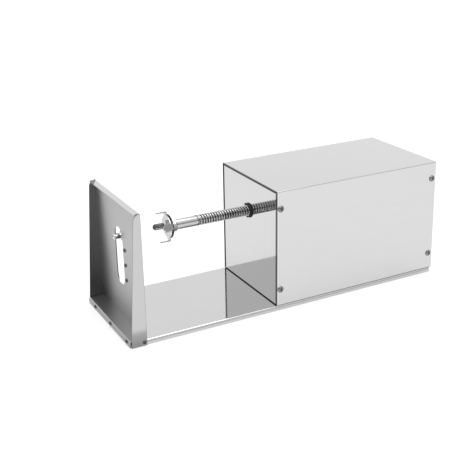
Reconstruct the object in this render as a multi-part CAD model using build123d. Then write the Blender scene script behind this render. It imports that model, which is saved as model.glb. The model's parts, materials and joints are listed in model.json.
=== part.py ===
from build123d import *
from math import atan, cos, radians, sin
import os

# Motor-driven tornado potato cutter in folded stainless steel. Sizes are in millimetres.
# Frame: +X runs from the cutter plate to the drive box, +Y from front to back, +Z up.
# The origin is on the table, under the middle of the whole machine.

# ---- Base and drive box --------------------------------------------------------------------
WIDTH = 160.0  # base and box, front to back
BED_LENGTH = 224.0  # cutter end of the base to the box's wall
BOX_LENGTH = 275.0
BOX_HEIGHT = 171.5  # box above the bed
SKIRT = 7.0  # depth of the base's folded edge, with its sheet
BASE_SHEET = 1.5
BOX_SHEET = 1.2
BASE_CORNER = 6.0
FOOT_PROUD = 1.0  # gap that the feet leave under the skirt
FOOT_RADIUS = 9.0
FOOT_INSET = (30.0, 20.0)  # foot centres from the base's ends and sides
FOOT_CHAMFER = 0.8
BEND = 1.8  # outer radius of a folded corner
WALL_BEND = 2.4  # and of the box's end walls
SEAM = 0.6  # gap where one sheet part meets another's edge
END_INSET = 0.3  # the end walls lie this far inside the cover's ends
REAR_LEAN = 3.7  # foot of the rear wall outside its top
BASE_LEDGE = 1.0  # base past the foot of the rear wall
COVER_LIFT = 0.5  # cover's lower edges above the bed
WALL_FLANGE = 12.0  # folded rim of an end wall
WALL_SCREW_SHARE = 0.6  # foot screws this far along the rim
BRACKET = (20.0, 1.5, 10.0)  # corner bracket's height, sheet and legs

# ---- Cutter plate and blade ----------------------------------------------------------------
PLATE_SHEET = 1.5
PLATE_HEIGHT = 178.0  # above the bed
PLATE_INSET = 24.5  # the plate's box side from the base's cutter end
GUSSET_TOP = 10.0
GUSSET_FOOT = 23.0
GUSSET_CORNER = 9.5
RELIEF = 1.6  # round relief where three folds meet
SLOT_RADIUS = 13.5
SLOT_DROP = 57.0  # lower slot centre below the feed axis
CARRIER_THICKNESS = 3.1
CARRIER_WIDTH = 11.5
CARRIER_GAP = 1.0  # carrier's edge from the slot's edge
CARRIER_CORNER = 2.0
BLADE_THICKNESS = 1.2
BLADE_BEVEL = 5.0
BLADE_EDGE = 0.1
BLADE_CORNER = 2.0
BLADE_END = 66.0  # lower end of the blade below the feed axis
CARRIER_SCREWS = (-57.8, -35.8, -13.8)  # heights from the feed axis
BLADE_SCREWS = (-46.8, -24.8, -2.8)
GUIDE_RADIUS = 4.0
GUIDE_BORE = 2.6
GUIDE_FRONT = 7.0  # the guide tube past the blade, towards the potato
GUIDE_BACK = 6.5  # and past the plate, on the outlet side
GUIDE_COLLAR = (1.2, 2.0)  # collar behind the blade: height and length
GUIDE_POINT = (3.0, 0.2)  # sharpened end: length and wall at the edge
EYE_WALL = 4.0
LIP_SCREWS = (-68.0, -8.0, 52.0)
LIP_SCREW_DROP = 1.9
SIDE_SCREW_INSET = 20.0
SIDE_SCREW_DROP = 2.3

# ---- Feed screw and potato holder ----------------------------------------------------------
AXIS_HEIGHT = 120.5  # feed axis above the bed
FEED_OUT = 49.0  # travel towards the blade from the pose shown
FEED_BACK = 80.0  # travel into the box
SCREW_RADIUS = 8.0
SHANK_RADIUS = 7.4  # plain length between the thread and the holder
THREAD_START = 83.5  # thread's outer end from the box's wall
HUB_REACH = 117.0  # hub's inner face from the box's wall
HUB_FLATS = 18.0
HUB_LENGTH = 7.0
HUB_FLANGE = (12.0, 2.0)  # radius and thickness
HUB_CHAMFER = (2.2, 0.49, 0.577)  # length, and radii as shares of the flats
SPIGOT_RADIUS = 5.0
DISC_RADIUS = 20.0
DISC_THICKNESS = 2.6
DISC_ROUND = 0.8
PRONG_SHEET = 1.5
PRONG_RADIUS = 21.0
PRONG_WIDTH = 9.0
PRONG_LENGTH = 14.5
PRONG_COUNT = 4
PRONG_ANGLE = 73.0  # first prong, from +Y towards +Z
PRONG_PLATE_EDGE = 4.0  # round middle of the prong plate inside the disc's edge
JAM_NUT = (16.0, 4.0)  # across flats and height
JAM_CHAMFER = (1.2, 0.48, 0.6)  # length, and radii as shares of the flats
SOCKET_DEPTH = 22.0  # blind hole for the skewer's end
SOCKET_POINT = 1.5  # drill point at the hole's end
SPIGOT_CHAMFER = 0.8
JOURNAL_RADIUS = 6.0
RING_RADIUS = 9.8
RING_PROUD = 3.0
RING_NECK = 8.9
RING_BACK = 1.5  # flange behind the wall's sheet
RING_CHAMFER = 0.8
RING_LUG = 1.3
RING_LUG_ANGLES = (42.0, 162.0, 282.0)

# ---- Drive frame inside the box ------------------------------------------------------------
BLOCK_SETBACK = 15.0
BLOCK_THICKNESS = 10.0
BLOCK_INSET = 20.0  # blocks from the base's sides
BLOCK_SCREW_INSET = 35.0
BLOCK_BOLT = (16.0, 20.0)  # screw's length in the block, and its hole's depth
BLOCK_WINDOW = (66.0, 50.0, 10.0)  # width, height and corner
BLOCK_WINDOW_HEIGHT = 45.0
BLOCK_CROWN = 22.0  # block above the feed axis
BLOCK_CORNER = 14.0
REAR_BLOCK_GAP = 19.0  # rear block from the end wall's sheet
MOTOR_PASSAGE = 28.0  # radius of the hole that the motor runs into
ROD_RADIUS = 5.0
ROD_SPREAD = 45.0
ROD_GRUB_LENGTH = 8.0
NUT_BODY = 14.0
NUT_FLANGE = (23.0, 6.0)
NUT_SCREW_CIRCLE = 18.5
NUT_SCREW_LENGTH = 12.0
STOP_GAP = 2.0
CAP_THICKNESS = 4.0
CAP_RIM = 8.0  # cap's edge outside the bearing
CAP_SCREW_OUT = 4.0  # and its screws
CAP_SCREW_SHORT = 4.0  # ends of its screws inside the carriage plate's back
CARRIAGE_THICKNESS = 12.0
CARRIAGE_HALF = (58.0, 34.0)
CARRIAGE_CORNER = 10.0
BEARING = (16.0, 10.0)  # outer radius and width
BEARING_LIP = 3.0  # width of its outer and inner rings
BEARING_SEAL = 0.6  # depth of the seal between them
BUSH_RADIUS = 9.5
BUSH_LENGTH = 29.0
BUSH_FLANGE = (20.0, 6.0)
BUSH_SCREW_CIRCLE = 14.5
BUSH_SCREW_GRIP = 8.0
COUPLING = (12.0, 25.0)  # radius and length
COUPLING_GAP = 2.5
COUPLING_CHAMFER = 0.6
COUPLING_GRUB = 5.0
MOTOR_SHAFT_RADIUS = 4.0
SHAFT_BORE = (6.0, 0.5)  # depth in the gearbox, and the shaft's gap to its end
PILLAR_LENGTH = 30.0
PILLAR_RADIUS = 4.0
PILLAR_CIRCLE = 19.5
PILLAR_STUD = (7.0, 8.0)  # stud's length, and its hole's depth
GEARBOX = (25.0, 25.0)  # radius and length
GEARBOX_BOSS = (4.0, 2.0)  # wall round the shaft, and length
GEARBOX_CHAMFER = 1.0
MOTOR = (22.0, 30.0)  # radius and length
MOTOR_CAP = (19.0, 4.0)
MOTOR_CHAMFER = 1.5
MOTOR_CAP_STEP = (4.0, 6.0)  # inner and outer end of the cap's slope, from its radius
MOTOR_TAB = (0.8, 6.0, 3.0)  # terminal's sheet, width, and inset from the cap's radius

# ---- Limit switches and electrics ----------------------------------------------------------
BAR_SIDE = 10.0
BAR_SCREW_GRIP = 5.0
BAR_PLACE = (48.0, -54.0)  # from the feed axis, in Y and Z
SWITCH_SIZE = (10.0, 6.4, 20.0)
SWITCH_SCREW_SETBACK = 4.0
SWITCH_SCREW_GRIP = 6.0
LEVER_LENGTH = 16.0
LEVER_WIDTH = 4.0
LEVER_SHEET = 0.5
LEVER_LEAN = 10.0  # degrees off the switch's face
LEVER_KNUCKLE = 1.0
LEVER_FOOT = 2.0  # knuckle above the switch's lower end
LEVER_GAP = 0.5  # lever's tip to the finger at the end of travel
FINGER_WIDTH = 10.0
FINGER_SHEET = 1.5
FINGER_TAB = 6.0
FINGER_DROP = 0.75  # finger's end up the lever's length
FINGER_SCREW = (3.0, 8.0, 10.0)  # setback, length, and its hole's depth
BOARD_SIZE = (90.0, 60.0, 1.6)
BOARD_CORNER = (120.0, -30.0)  # from the box's wall and the middle
STANDOFF = (3.0, 8.0)
BOARD_HOLE_INSET = 5.0
BOARD_SCREW_END = 3.0
BOARD_NUT = (5.5, 2.4)  # across flats and height
RELAY_SIZE = (19.0, 15.5, 15.5)
RELAY_PLACE = (18.0, 10.0)  # from the board's corner
RELAY_GAP = 4.0
RELAY_CORNER = 1.0
TERMINAL_SIZE = (30.0, 9.0, 11.0)
TERMINAL_PLACE = (48.0, 14.0)
TERMINAL_COUNT = 6
TERMINAL_HOLE = (1.6, 4.0)  # radius, and height of its bottom
TERMINAL_CORNER = 2.0
ROCKER_PLACE = (-38.0, 62.0)  # on the end wall: Y, and height above the bed
ROCKER_BEZEL = (15.0, 21.0, 2.0)
ROCKER_BEZEL_CORNER = 1.5
ROCKER_BEZEL_CHAMFER = 0.6
ROCKER_BODY = (13.0, 19.0, 14.0)
ROCKER_WIDTH = 10.6
ROCKER_SWING = 8.5  # radius of the rocker's rounded ends
ROCKER_PIVOT = 0.5  # pivot outside the wall's face
ROCKER_CROWN = 3.7  # rocker's high ends outside its pivot
ROCKER_DISH = 1.5  # dip of the rocker's middle
ROCKER_LIP = (ROCKER_SWING**2 - ROCKER_CROWN**2) ** 0.5  # height of the rocker's high ends
ROCKER_DEPTH = 4.5
ROCKER_POCKET = 3.0  # room behind the rocker
ROCKER_PIN = 1.0
ROCKER_PIN_END = (0.6, 0.8)  # pin in the bezel's wall, and its hole
ROCKER_GAP = 0.5
JACK_PLACE = (38.0, 62.0)
JACK_BARREL = 5.5
JACK_FLANGE = (7.0, 2.0)
JACK_LENGTH = 16.0
JACK_MOUTH = (3.1, 9.0)
JACK_PIN = (1.0, 1.0)  # radius, and set back from the mouth
JACK_CHAMFER = 0.5
JACK_NUT = (14.0, 2.5)  # across flats and height

# ---- Screws: shank radius, head radius, head height ------------------------------------------
M3 = (1.5, 2.75, 2.0)
M4 = (2.0, 4.0, 2.8)
M5 = (2.5, 4.6, 3.0)
LOW_HEIGHT = 1.6
M3_LOW = (M3[0], 2.75, LOW_HEIGHT)
M4_LOW = (M4[0], 3.5, LOW_HEIGHT)
SCREW_HOLE = 0.2  # clearance round a screw in the sheet that it holds
TAPPED = 0.03  # clearance drawn round a shank in its thread
PRESSED = 0.02  # clearance drawn round a part that is pressed in
RUNNING = 0.05  # radial clearance of a shaft in its bearing
COVER_SCREW_INSET = (6.0, 7.0)  # from the cover's front and rear ends
COVER_SCREW_HEIGHTS = (25.0, 146.0)
END_SCREW_HEIGHT = 88.0
END_SCREW_INSET = 6.5
LIP_SCREW_END = 0.5  # how far the screws reach past the sheets that they hold
SIDE_SCREW_END = 2.0
WALL_SCREW_END = 2.0
COVER_SCREW_END = 4.0
BRACKET_SCREW_END = 6.0
CARRIER_SCREW_SHORT = 0.3  # screws end this far inside the last face

# ---- Places worked out from the sizes ------------------------------------------------------
LEAN = REAR_LEAN / (BOX_HEIGHT - BOX_SHEET - SEAM)  # slope of the rear wall
LEAN_ANGLE = atan(LEAN)
ROCKER_OUT = (ROCKER_PIVOT + ROCKER_CROWN) * cos(LEAN_ANGLE) + ROCKER_LIP * sin(LEAN_ANGLE)
REAR_PROUD = REAR_LEAN - END_INSET - LEAN * ROCKER_PLACE[1] + ROCKER_OUT
LIP_PROUD = M3[2]
X_WALL = (BED_LENGTH + LIP_PROUD - BOX_LENGTH - REAR_PROUD) / 2
X_LEFT = X_WALL - BED_LENGTH
X_REAR = X_WALL + BOX_LENGTH
X_END = X_REAR - END_INSET  # outer face of the rear wall at its top
X_BASE_END = X_END + REAR_LEAN + BASE_LEDGE
BED = FOOT_PROUD + SKIRT
BOX_TOP = BED + BOX_HEIGHT
AXIS = BED + AXIS_HEIGHT
HALF = WIDTH / 2
BLOCK_HALF_WIDTH = HALF - BLOCK_INSET
PLATE_GAP = 0.1  # fold of the plate over the base's skirt
X_PLATE = X_LEFT + PLATE_INSET
PLATE_HALF = HALF + PLATE_GAP + PLATE_SHEET
X_BASE = X_LEFT + PLATE_SHEET + PLATE_GAP
LIP_GRIP = PLATE_SHEET + PLATE_GAP + BASE_SHEET + LIP_SCREW_END
X_BLOCK = X_WALL + BLOCK_SETBACK
X_NUT = X_BLOCK + BLOCK_THICKNESS + NUT_FLANGE[1]
X_CAP = X_NUT + STOP_GAP + FEED_OUT
X_CARRIAGE = X_CAP + CAP_THICKNESS
X_CARRIAGE_BACK = X_CARRIAGE + CARRIAGE_THICKNESS
X_GEARBOX = X_CARRIAGE_BACK + PILLAR_LENGTH
X_REAR_BLOCK = X_END - BOX_SHEET - REAR_BLOCK_GAP
X_HUB = X_WALL - HUB_REACH
X_DISC = X_HUB - HUB_LENGTH - HUB_FLANGE[1]
X_PRONG_PLATE = X_DISC - DISC_THICKNESS
X_JAM = X_PRONG_PLATE - PRONG_SHEET
X_TIP = X_JAM - JAM_NUT[1]
CARRIER_Y = -(SLOT_RADIUS + CARRIER_GAP + CARRIER_WIDTH / 2)


# ---- Shapes used by many parts -------------------------------------------------------------
def block(xs, ys, zs):
    """Rectangular block between three pairs of limits."""
    limits = (xs, ys, zs)
    size = [high - low for low, high in limits]
    middle = [(high + low) / 2 for low, high in limits]
    return Pos(*middle) * Box(*size)


def bar(start, direction, length, radius):
    """Round bar from a point along a direction."""
    return extrude(Plane(origin=start, z_dir=direction) * Circle(radius), length)


def turned(points, y=0.0, z=AXIS):
    """Solid turned about an axis parallel to X, from (x, radius) points."""
    return Pos(0, y, z) * revolve(make_face(Polyline(*points, close=True)), Axis.X)


def ring(x0, x1, outer, inner, y=0.0, z=AXIS):
    """Plain ring about an axis parallel to X."""
    return turned([(x0, inner), (x0, outer), (x1, outer), (x1, inner)], y, z)


def hexagon(start, direction, length, flats):
    """Hexagonal prism from a point along a direction."""
    outline = RegularPolygon(flats / 2, 6, major_radius=False)
    return extrude(Plane(origin=start, z_dir=direction) * outline, length)


def pan_screw(seat, outward, size, length):
    """Screw with a domed head that sits on a surface, its shank going the other way."""
    shank, head, height = size
    points = [(0, -length), (shank, -length), (shank, 0), (head, 0), (head, 0.4 * height)]
    points += [(0.85 * head, 0.75 * height), (0.55 * head, height), (0, height)]
    body = revolve(Plane.XZ * make_face(Polyline(*points, close=True)), Axis.Z)
    return Plane(origin=seat, z_dir=outward).location * body


def flat_screw(face, outward, size, length):
    """Screw whose cone-shaped head lies flush with a surface."""
    shank, head, _ = size
    points = [(0, 0), (head, 0), (shank, shank - head), (shank, -length), (0, -length)]
    body = revolve(Plane.XZ * make_face(Polyline(*points, close=True)), Axis.Z)
    return Plane(origin=face, z_dir=outward).location * body


def low_screw(seat, outward, size, length):
    """Screw with a low cylinder head."""
    shank, head, height = size
    place = Plane(origin=seat, z_dir=outward)
    screw = extrude(place * Circle(head), height)
    return screw + extrude(place * Circle(shank), -length)


def holes(part, places, direction, length, radius):
    """The part with a round hole of that length from each place."""
    for place in places:
        part -= bar(place, direction, length, radius)
    return part


def group(pieces):
    """Separate solids kept together as one set."""
    return Compound(children=list(pieces))


def round_places(x, count, circle, first=0.0, y=0.0, z=AXIS):
    """Points on a circle about an axis parallel to X."""
    angles = [radians(first + 360 * i / count) for i in range(count)]
    return [(x, y + circle * cos(a), z + circle * sin(a)) for a in angles]


# ---- Places that two or more parts share ---------------------------------------------------
def wall_x(height):
    """Outer face of the leaning rear wall at a height above the bed."""
    return X_END + REAR_LEAN - LEAN * height


def cover_end(height):
    """Rear end of the cover at a height above the bed."""
    return wall_x(height) + END_INSET


FOOT_X = (X_LEFT + FOOT_INSET[0], X_BASE_END - FOOT_INSET[0])
FOOT_Y = (FOOT_INSET[1] - HALF, HALF - FOOT_INSET[1])
FOOT_PLACES = [(x, y, 0) for x in FOOT_X for y in FOOT_Y]
BLOCK_SCREW_Y = (BLOCK_SCREW_INSET - HALF, HALF - BLOCK_SCREW_INSET)
BLOCK_X = (X_BLOCK + BLOCK_THICKNESS / 2, X_REAR_BLOCK - BLOCK_THICKNESS / 2)
BLOCK_SCREWS = [(x, y, BED - BASE_SHEET) for x in BLOCK_X for y in BLOCK_SCREW_Y]
WALL_SCREW_IN = WALL_SCREW_SHARE * WALL_FLANGE
WALL_SCREW_X = (X_WALL + END_INSET + WALL_SCREW_IN, X_END - WALL_SCREW_IN)
WALL_SCREWS = [(x, y, BED - BASE_SHEET) for x in WALL_SCREW_X for y in BLOCK_SCREW_Y]
FRONT_WALL_SCREWS = [(X_WALL + COVER_SCREW_INSET[0], BED + z) for z in COVER_SCREW_HEIGHTS]
REAR_WALL_SCREWS = [(cover_end(z) - COVER_SCREW_INSET[1], BED + z) for z in COVER_SCREW_HEIGHTS]
END_SCREW_Y = (-HALF + END_SCREW_INSET, HALF - END_SCREW_INSET)
LIP_PLACES = [(X_LEFT, y, BED - LIP_SCREW_DROP) for y in LIP_SCREWS]
SIDE_PLACE = (X_LEFT + SIDE_SCREW_INSET, BED - SIDE_SCREW_DROP)
BOARD_X = X_WALL + BOARD_CORNER[0]
BOARD_Y = BOARD_CORNER[1]
BOARD_Z = BED + STANDOFF[1]
BOARD_HOLE_X = (BOARD_X + BOARD_HOLE_INSET, BOARD_X + BOARD_SIZE[0] - BOARD_HOLE_INSET)
BOARD_HOLE_Y = (BOARD_Y + BOARD_HOLE_INSET, BOARD_Y + BOARD_SIZE[1] - BOARD_HOLE_INSET)
BOARD_HOLES = [(x, y) for x in BOARD_HOLE_X for y in BOARD_HOLE_Y]
CARRIER_PLACES = [(CARRIER_Y, AXIS + z) for z in CARRIER_SCREWS]
BLADE_PLACES = [(CARRIER_Y, AXIS + z) for z in BLADE_SCREWS]
NUT_SCREWS = round_places(X_NUT, 4, NUT_SCREW_CIRCLE, 45)
CAP_SCREWS = round_places(X_CAP, 4, BEARING[0] + CAP_SCREW_OUT)
MOTOR_SCREWS = round_places(X_GEARBOX, 4, PILLAR_CIRCLE, 45)
BAR_Y = BAR_PLACE[0]
BAR_Z = AXIS + BAR_PLACE[1]
BAR_FRONT = X_BLOCK + BLOCK_THICKNESS
BAR_BACK = X_REAR_BLOCK - BLOCK_THICKNESS
X_FINGER = X_CARRIAGE + CARRIAGE_THICKNESS / 2
LEVER_TIP = LEVER_LENGTH * sin(radians(LEVER_LEAN)) + LEVER_SHEET
X_FRONT_SWITCH = X_FINGER - FEED_OUT - LEVER_GAP - LEVER_TIP - LEVER_KNUCKLE
X_REAR_SWITCH = X_FINGER + FINGER_SHEET + FEED_BACK + LEVER_GAP + LEVER_TIP + LEVER_KNUCKLE
SWITCH_Y = BAR_Y - BAR_SIDE / 2 - SWITCH_SIZE[1]
SWITCH_Z = BAR_Z - BAR_SIDE / 2
SWITCHES = ((X_FRONT_SWITCH, 1), (X_REAR_SWITCH, -1))  # face with the lever, and where it looks


# ---- Base ----------------------------------------------------------------------------------
def base_tray():
    """Bed sheet with its edges folded down all round."""
    length = X_BASE_END - X_BASE
    middle = Pos((X_BASE_END + X_BASE) / 2, 0, FOOT_PROUD)
    outline = RectangleRounded(length, WIDTH, BASE_CORNER)
    tray = middle * extrude(outline, SKIRT)
    top = tray.edges().filter_by_position(Axis.Z, BED - 0.01, BED + 0.01)
    tray = fillet(top, BASE_SHEET)
    inner_length = length - 2 * BASE_SHEET
    inner_width = WIDTH - 2 * BASE_SHEET
    inside = RectangleRounded(inner_length, inner_width, BASE_CORNER - BASE_SHEET)
    tray -= middle * extrude(inside, SKIRT - BASE_SHEET)
    tray = holes(tray, BLOCK_SCREWS, (0, 0, 1), SKIRT, M5[0] + SCREW_HOLE)
    tray = holes(tray, WALL_SCREWS, (0, 0, 1), SKIRT, M4[0] + SCREW_HOLE)
    tray = holes(tray, LIP_PLACES, (1, 0, 0), LIP_GRIP + 0.5, M3[0] + TAPPED)
    board = [(x, y, FOOT_PROUD) for x, y in BOARD_HOLES]
    tray = holes(tray, board, (0, 0, 1), SKIRT, M3[0] + SCREW_HOLE)
    side = [(SIDE_PLACE[0], -HALF - 1, SIDE_PLACE[1])]
    return holes(tray, side, (0, 1, 0), WIDTH + 2, M3[0] + TAPPED)


def rubber_feet():
    """Round pads bonded under the bed sheet, a little proud of the skirt."""
    height = BED - BASE_SHEET
    feet = []
    for x, y, z in FOOT_PLACES:
        pad = bar((x, y, z), (0, 0, 1), height, FOOT_RADIUS)
        rim = pad.edges().filter_by_position(Axis.Z, -0.01, 0.01)
        feet.append(chamfer(rim, FOOT_CHAMFER))
    return group(feet)


# ---- Cutter plate --------------------------------------------------------------------------
def gusset_outline():
    """Side wall of the cutter plate, seen from the front."""
    foot = FOOT_PROUD
    top = BED + PLATE_HEIGHT
    side = make_face(
        Polyline(
            (X_PLATE, foot),
            (X_PLATE - GUSSET_FOOT, foot),
            (X_PLATE - GUSSET_TOP, top),
            (X_PLATE, top),
            close=True,
        )
    )
    corner = side.vertices().sort_by(Axis.Y)[-2:].sort_by(Axis.X)[0]
    return fillet(corner, GUSSET_CORNER)


def cutter_plate():
    """One folded sheet: upright plate, tapered side walls, top rim, and a foot that laps the base."""
    top = BED + PLATE_HEIGHT
    back = X_PLATE - PLATE_SHEET
    rim_half = PLATE_HALF - PLATE_SHEET - SEAM
    side = Plane(origin=(0, PLATE_HALF + 1, 0), x_dir=(1, 0, 0), z_dir=(0, -1, 0))
    channel = folded_channel() & extrude(side * gusset_outline(), 2 * PLATE_HALF + 2)
    channel -= block((X_LEFT, X_PLATE + 1), (-rim_half, rim_half), (0, top + 1))
    inside = HALF + PLATE_GAP
    channel -= block((X_LEFT, X_PLATE + 1), (-inside, inside), (0, BED))
    band = Plane(origin=(0, rim_half, 0), x_dir=(1, 0, 0), z_dir=(0, -1, 0)) * band_profile()
    plate = channel + extrude(band, 2 * rim_half)
    for y in (-rim_half, rim_half):
        plate -= bar((X_PLATE, y, top + 1), (0, 0, -1), PLATE_SHEET + 1, RELIEF)
    slot = SlotCenterToCenter(SLOT_DROP, 2 * SLOT_RADIUS)
    face = Plane(origin=(back - 1, 0, AXIS - SLOT_DROP / 2), x_dir=(0, 0, 1), z_dir=(1, 0, 0))
    plate -= extrude(face * slot, PLATE_SHEET + 2)
    fixings = [(back - 1, y, z) for y, z in CARRIER_PLACES]
    plate = holes(plate, fixings, (1, 0, 0), PLATE_SHEET + 2, M3[0] + SCREW_HOLE)
    lip = [(x - 1, y, z) for x, y, z in LIP_PLACES]
    plate = holes(plate, lip, (1, 0, 0), PLATE_SHEET + 1, M3[0] + SCREW_HOLE)
    start = [(SIDE_PLACE[0], -PLATE_HALF - 1, SIDE_PLACE[1])]
    return holes(plate, start, (0, 1, 0), 2 * PLATE_HALF + 2, M3[0] + SCREW_HOLE)


def folded_channel():
    """Upright plate and both side walls as a plain channel."""
    wide = Pos(X_PLATE - GUSSET_FOOT / 2, 0) * Rectangle(GUSSET_FOOT, 2 * PLATE_HALF)
    wide = fillet(wide.vertices().sort_by(Axis.X)[-2:], BEND)
    inner = PLATE_HALF - PLATE_SHEET
    narrow = Pos(X_PLATE - PLATE_SHEET - GUSSET_FOOT / 2, 0) * Rectangle(GUSSET_FOOT, 2 * inner)
    return Pos(0, 0, FOOT_PROUD) * extrude(wide - narrow, BED + PLATE_HEIGHT - FOOT_PROUD)


def band_profile():
    """Lip, foot, upright and top rim of the cutter plate, seen from the front."""
    top = BED + PLATE_HEIGHT
    back = X_PLATE - PLATE_SHEET
    rim = X_PLATE - GUSSET_TOP
    floor = BED + PLATE_SHEET
    outer = [(X_LEFT, floor), (X_PLATE, BED), (X_PLATE, top)]
    points = [(X_LEFT, FOOT_PROUD), outer[0], (back, floor), (back, top - PLATE_SHEET)]
    points += [(rim, top - PLATE_SHEET), (rim, top), outer[2], outer[1]]
    points += [(X_LEFT + PLATE_SHEET, BED), (X_LEFT + PLATE_SHEET, FOOT_PROUD)]
    profile = make_face(Polyline(*points, close=True))
    folds = [v for v in profile.vertices() if (round(v.X, 3), round(v.Y, 3)) in rounded(outer)]
    return fillet(folds, BEND)


def rounded(points):
    """Points as short numbers, to find corners by their place."""
    return [(round(x, 3), round(y, 3)) for x, y in points]


def cutter_plate_screws():
    """Three screws in the plate's lip and one in each side."""
    screws = [pan_screw(place, (-1, 0, 0), M3, LIP_GRIP) for place in LIP_PLACES]
    for side in (-1, 1):
        seat = (SIDE_PLACE[0], side * PLATE_HALF, SIDE_PLACE[1])
        screws.append(pan_screw(seat, (0, side, 0), M3, PLATE_SHEET + BASE_SHEET + SIDE_SCREW_END))
    return group(screws)


def blade_carrier():
    """Bar beside the slot that holds the blade off the plate by one slice."""
    top = AXIS + 2 * GUIDE_RADIUS
    bottom = AXIS - BLADE_END
    length = top - bottom
    place = Plane(origin=(X_PLATE, CARRIER_Y, (top + bottom) / 2), x_dir=(0, 0, 1), z_dir=(1, 0, 0))
    carrier = extrude(place * RectangleRounded(length, CARRIER_WIDTH, CARRIER_CORNER), CARRIER_THICKNESS)
    for y, z in CARRIER_PLACES + BLADE_PLACES:
        carrier -= bar((X_PLATE - 1, y, z), (1, 0, 0), CARRIER_THICKNESS + 2, M3[0] + TAPPED)
    face = X_PLATE + CARRIER_THICKNESS + BLADE_THICKNESS
    for y, z in BLADE_PLACES:
        carrier -= flat_screw((face, y, z), (1, 0, 0), M3, CARRIER_THICKNESS)
    return carrier


def carrier_screws():
    """Pan-head screws through the plate into the blade carrier."""
    back = X_PLATE - PLATE_SHEET
    reach = PLATE_SHEET + CARRIER_THICKNESS - CARRIER_SCREW_SHORT
    return group(pan_screw((back, y, z), (-1, 0, 0), M3, reach) for y, z in CARRIER_PLACES)


def slicing_blade():
    """Blade with one ground edge on the feed axis, and an eye for the skewer guide."""
    back = X_PLATE + CARRIER_THICKNESS
    face = back + BLADE_THICKNESS
    heel = CARRIER_Y - CARRIER_WIDTH / 2
    section = Polyline(
        (back, heel), (back, -BLADE_BEVEL), (face - BLADE_EDGE, 0), (face, 0), (face, heel), close=True
    )
    blade = Pos(0, 0, AXIS - BLADE_END) * extrude(make_face(section), BLADE_END)
    eye = GUIDE_RADIUS + EYE_WALL
    blade += bar((back, 0, AXIS), (1, 0, 0), BLADE_THICKNESS, eye)
    blade += block((back, face), (heel, 0), (AXIS, AXIS + eye))
    foot = blade.edges().filter_by(Axis.X).sort_by(Axis.Z)[:2].sort_by(Axis.Y)[0]
    blade = fillet(foot, BLADE_CORNER)
    blade -= bar((back - 1, 0, AXIS), (1, 0, 0), BLADE_THICKNESS + 2, GUIDE_RADIUS + PRESSED)
    for y, z in BLADE_PLACES:
        blade -= flat_screw((face, y, z), (1, 0, 0), (M3[0] + TAPPED, M3[1] + TAPPED, 0), 2)
    return blade


def blade_screws():
    """Flush screws that hold the blade on its carrier."""
    face = X_PLATE + CARRIER_THICKNESS + BLADE_THICKNESS
    reach = BLADE_THICKNESS + CARRIER_THICKNESS - CARRIER_SCREW_SHORT
    return group(flat_screw((face, y, z), (1, 0, 0), M3, reach) for y, z in BLADE_PLACES)


def skewer_guide():
    """Tube on the feed axis that the skewer slides out through, sharp at the potato's end."""
    blade_back = X_PLATE + CARRIER_THICKNESS
    front = blade_back + BLADE_THICKNESS + GUIDE_FRONT
    exit_end = X_PLATE - PLATE_SHEET - GUIDE_BACK
    shoulder = GUIDE_RADIUS + GUIDE_COLLAR[0]
    collar = blade_back - GUIDE_COLLAR[1]
    point, edge = GUIDE_POINT
    points = [
        (exit_end, GUIDE_BORE),
        (exit_end, GUIDE_RADIUS),
        (collar, GUIDE_RADIUS),
        (collar, shoulder),
        (blade_back, shoulder),
        (blade_back, GUIDE_RADIUS),
        (front - point, GUIDE_RADIUS),
        (front, GUIDE_BORE + edge),
        (front, GUIDE_BORE),
    ]
    return turned(points)


# ---- Drive box -----------------------------------------------------------------------------
def wall_pan(x_top, x_foot, x_rim):
    """End wall of the box with its edges folded inwards all round, seen from the front."""
    half = HALF - BOX_SHEET - SEAM
    top = BOX_TOP - BOX_SHEET - SEAM
    out = 1 if x_top > x_rim else -1
    outline = make_face(Polyline((x_rim, BED), (x_foot, BED), (x_top, top), (x_rim, top), close=True))
    behind = Plane(origin=(0, half, 0), x_dir=(1, 0, 0), z_dir=(0, -1, 0))
    wall = extrude(behind * outline, 2 * half)
    face = wall.faces().sort_by(Axis.X)[-1 if out > 0 else 0]
    wall = fillet(face.edges(), WALL_BEND)
    sheet = out * BOX_SHEET
    low, high = BED + BOX_SHEET, top - BOX_SHEET
    points = [(x_rim - out, low), (x_foot - sheet, low), (x_top - sheet, high), (x_rim - out, high)]
    inner = half - BOX_SHEET
    behind = Plane(origin=(0, inner, 0), x_dir=(1, 0, 0), z_dir=(0, -1, 0))
    wall -= extrude(behind * make_face(Polyline(*points, close=True)), 2 * inner)
    x_screw = WALL_SCREW_X[0] if out < 0 else WALL_SCREW_X[1]
    feet = [(x_screw, y, BED - 1) for y in BLOCK_SCREW_Y]
    wall = holes(wall, feet, (0, 0, 1), BOX_SHEET + 2, M4[0] + TAPPED)
    side = [(x, -HALF, z) for x, z in (FRONT_WALL_SCREWS if out < 0 else REAR_WALL_SCREWS)]
    return holes(wall, side, (0, 1, 0), WIDTH, M4[0] + TAPPED)


def rear_face(y, height):
    """Plane on the leaning rear wall, at a height above the bed, looking outwards."""
    outward = (cos(LEAN_ANGLE), 0, sin(LEAN_ANGLE))
    return Plane(origin=(wall_x(height), y, BED + height), x_dir=(0, 1, 0), z_dir=outward)


def through(part, plane, outline, inward, outward):
    """The part with an opening cut along a plane's normal."""
    return part - Pos(*(plane.z_dir * -inward)) * extrude(plane * outline, inward + outward)


def front_wall():
    """Wall that the feed screw comes out of."""
    face = X_WALL + END_INSET
    wall = wall_pan(face, face, face + WALL_FLANGE)
    return wall - bar((X_WALL - 1, 0, AXIS), (1, 0, 0), BOX_SHEET + 3, RING_NECK + PRESSED)


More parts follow.
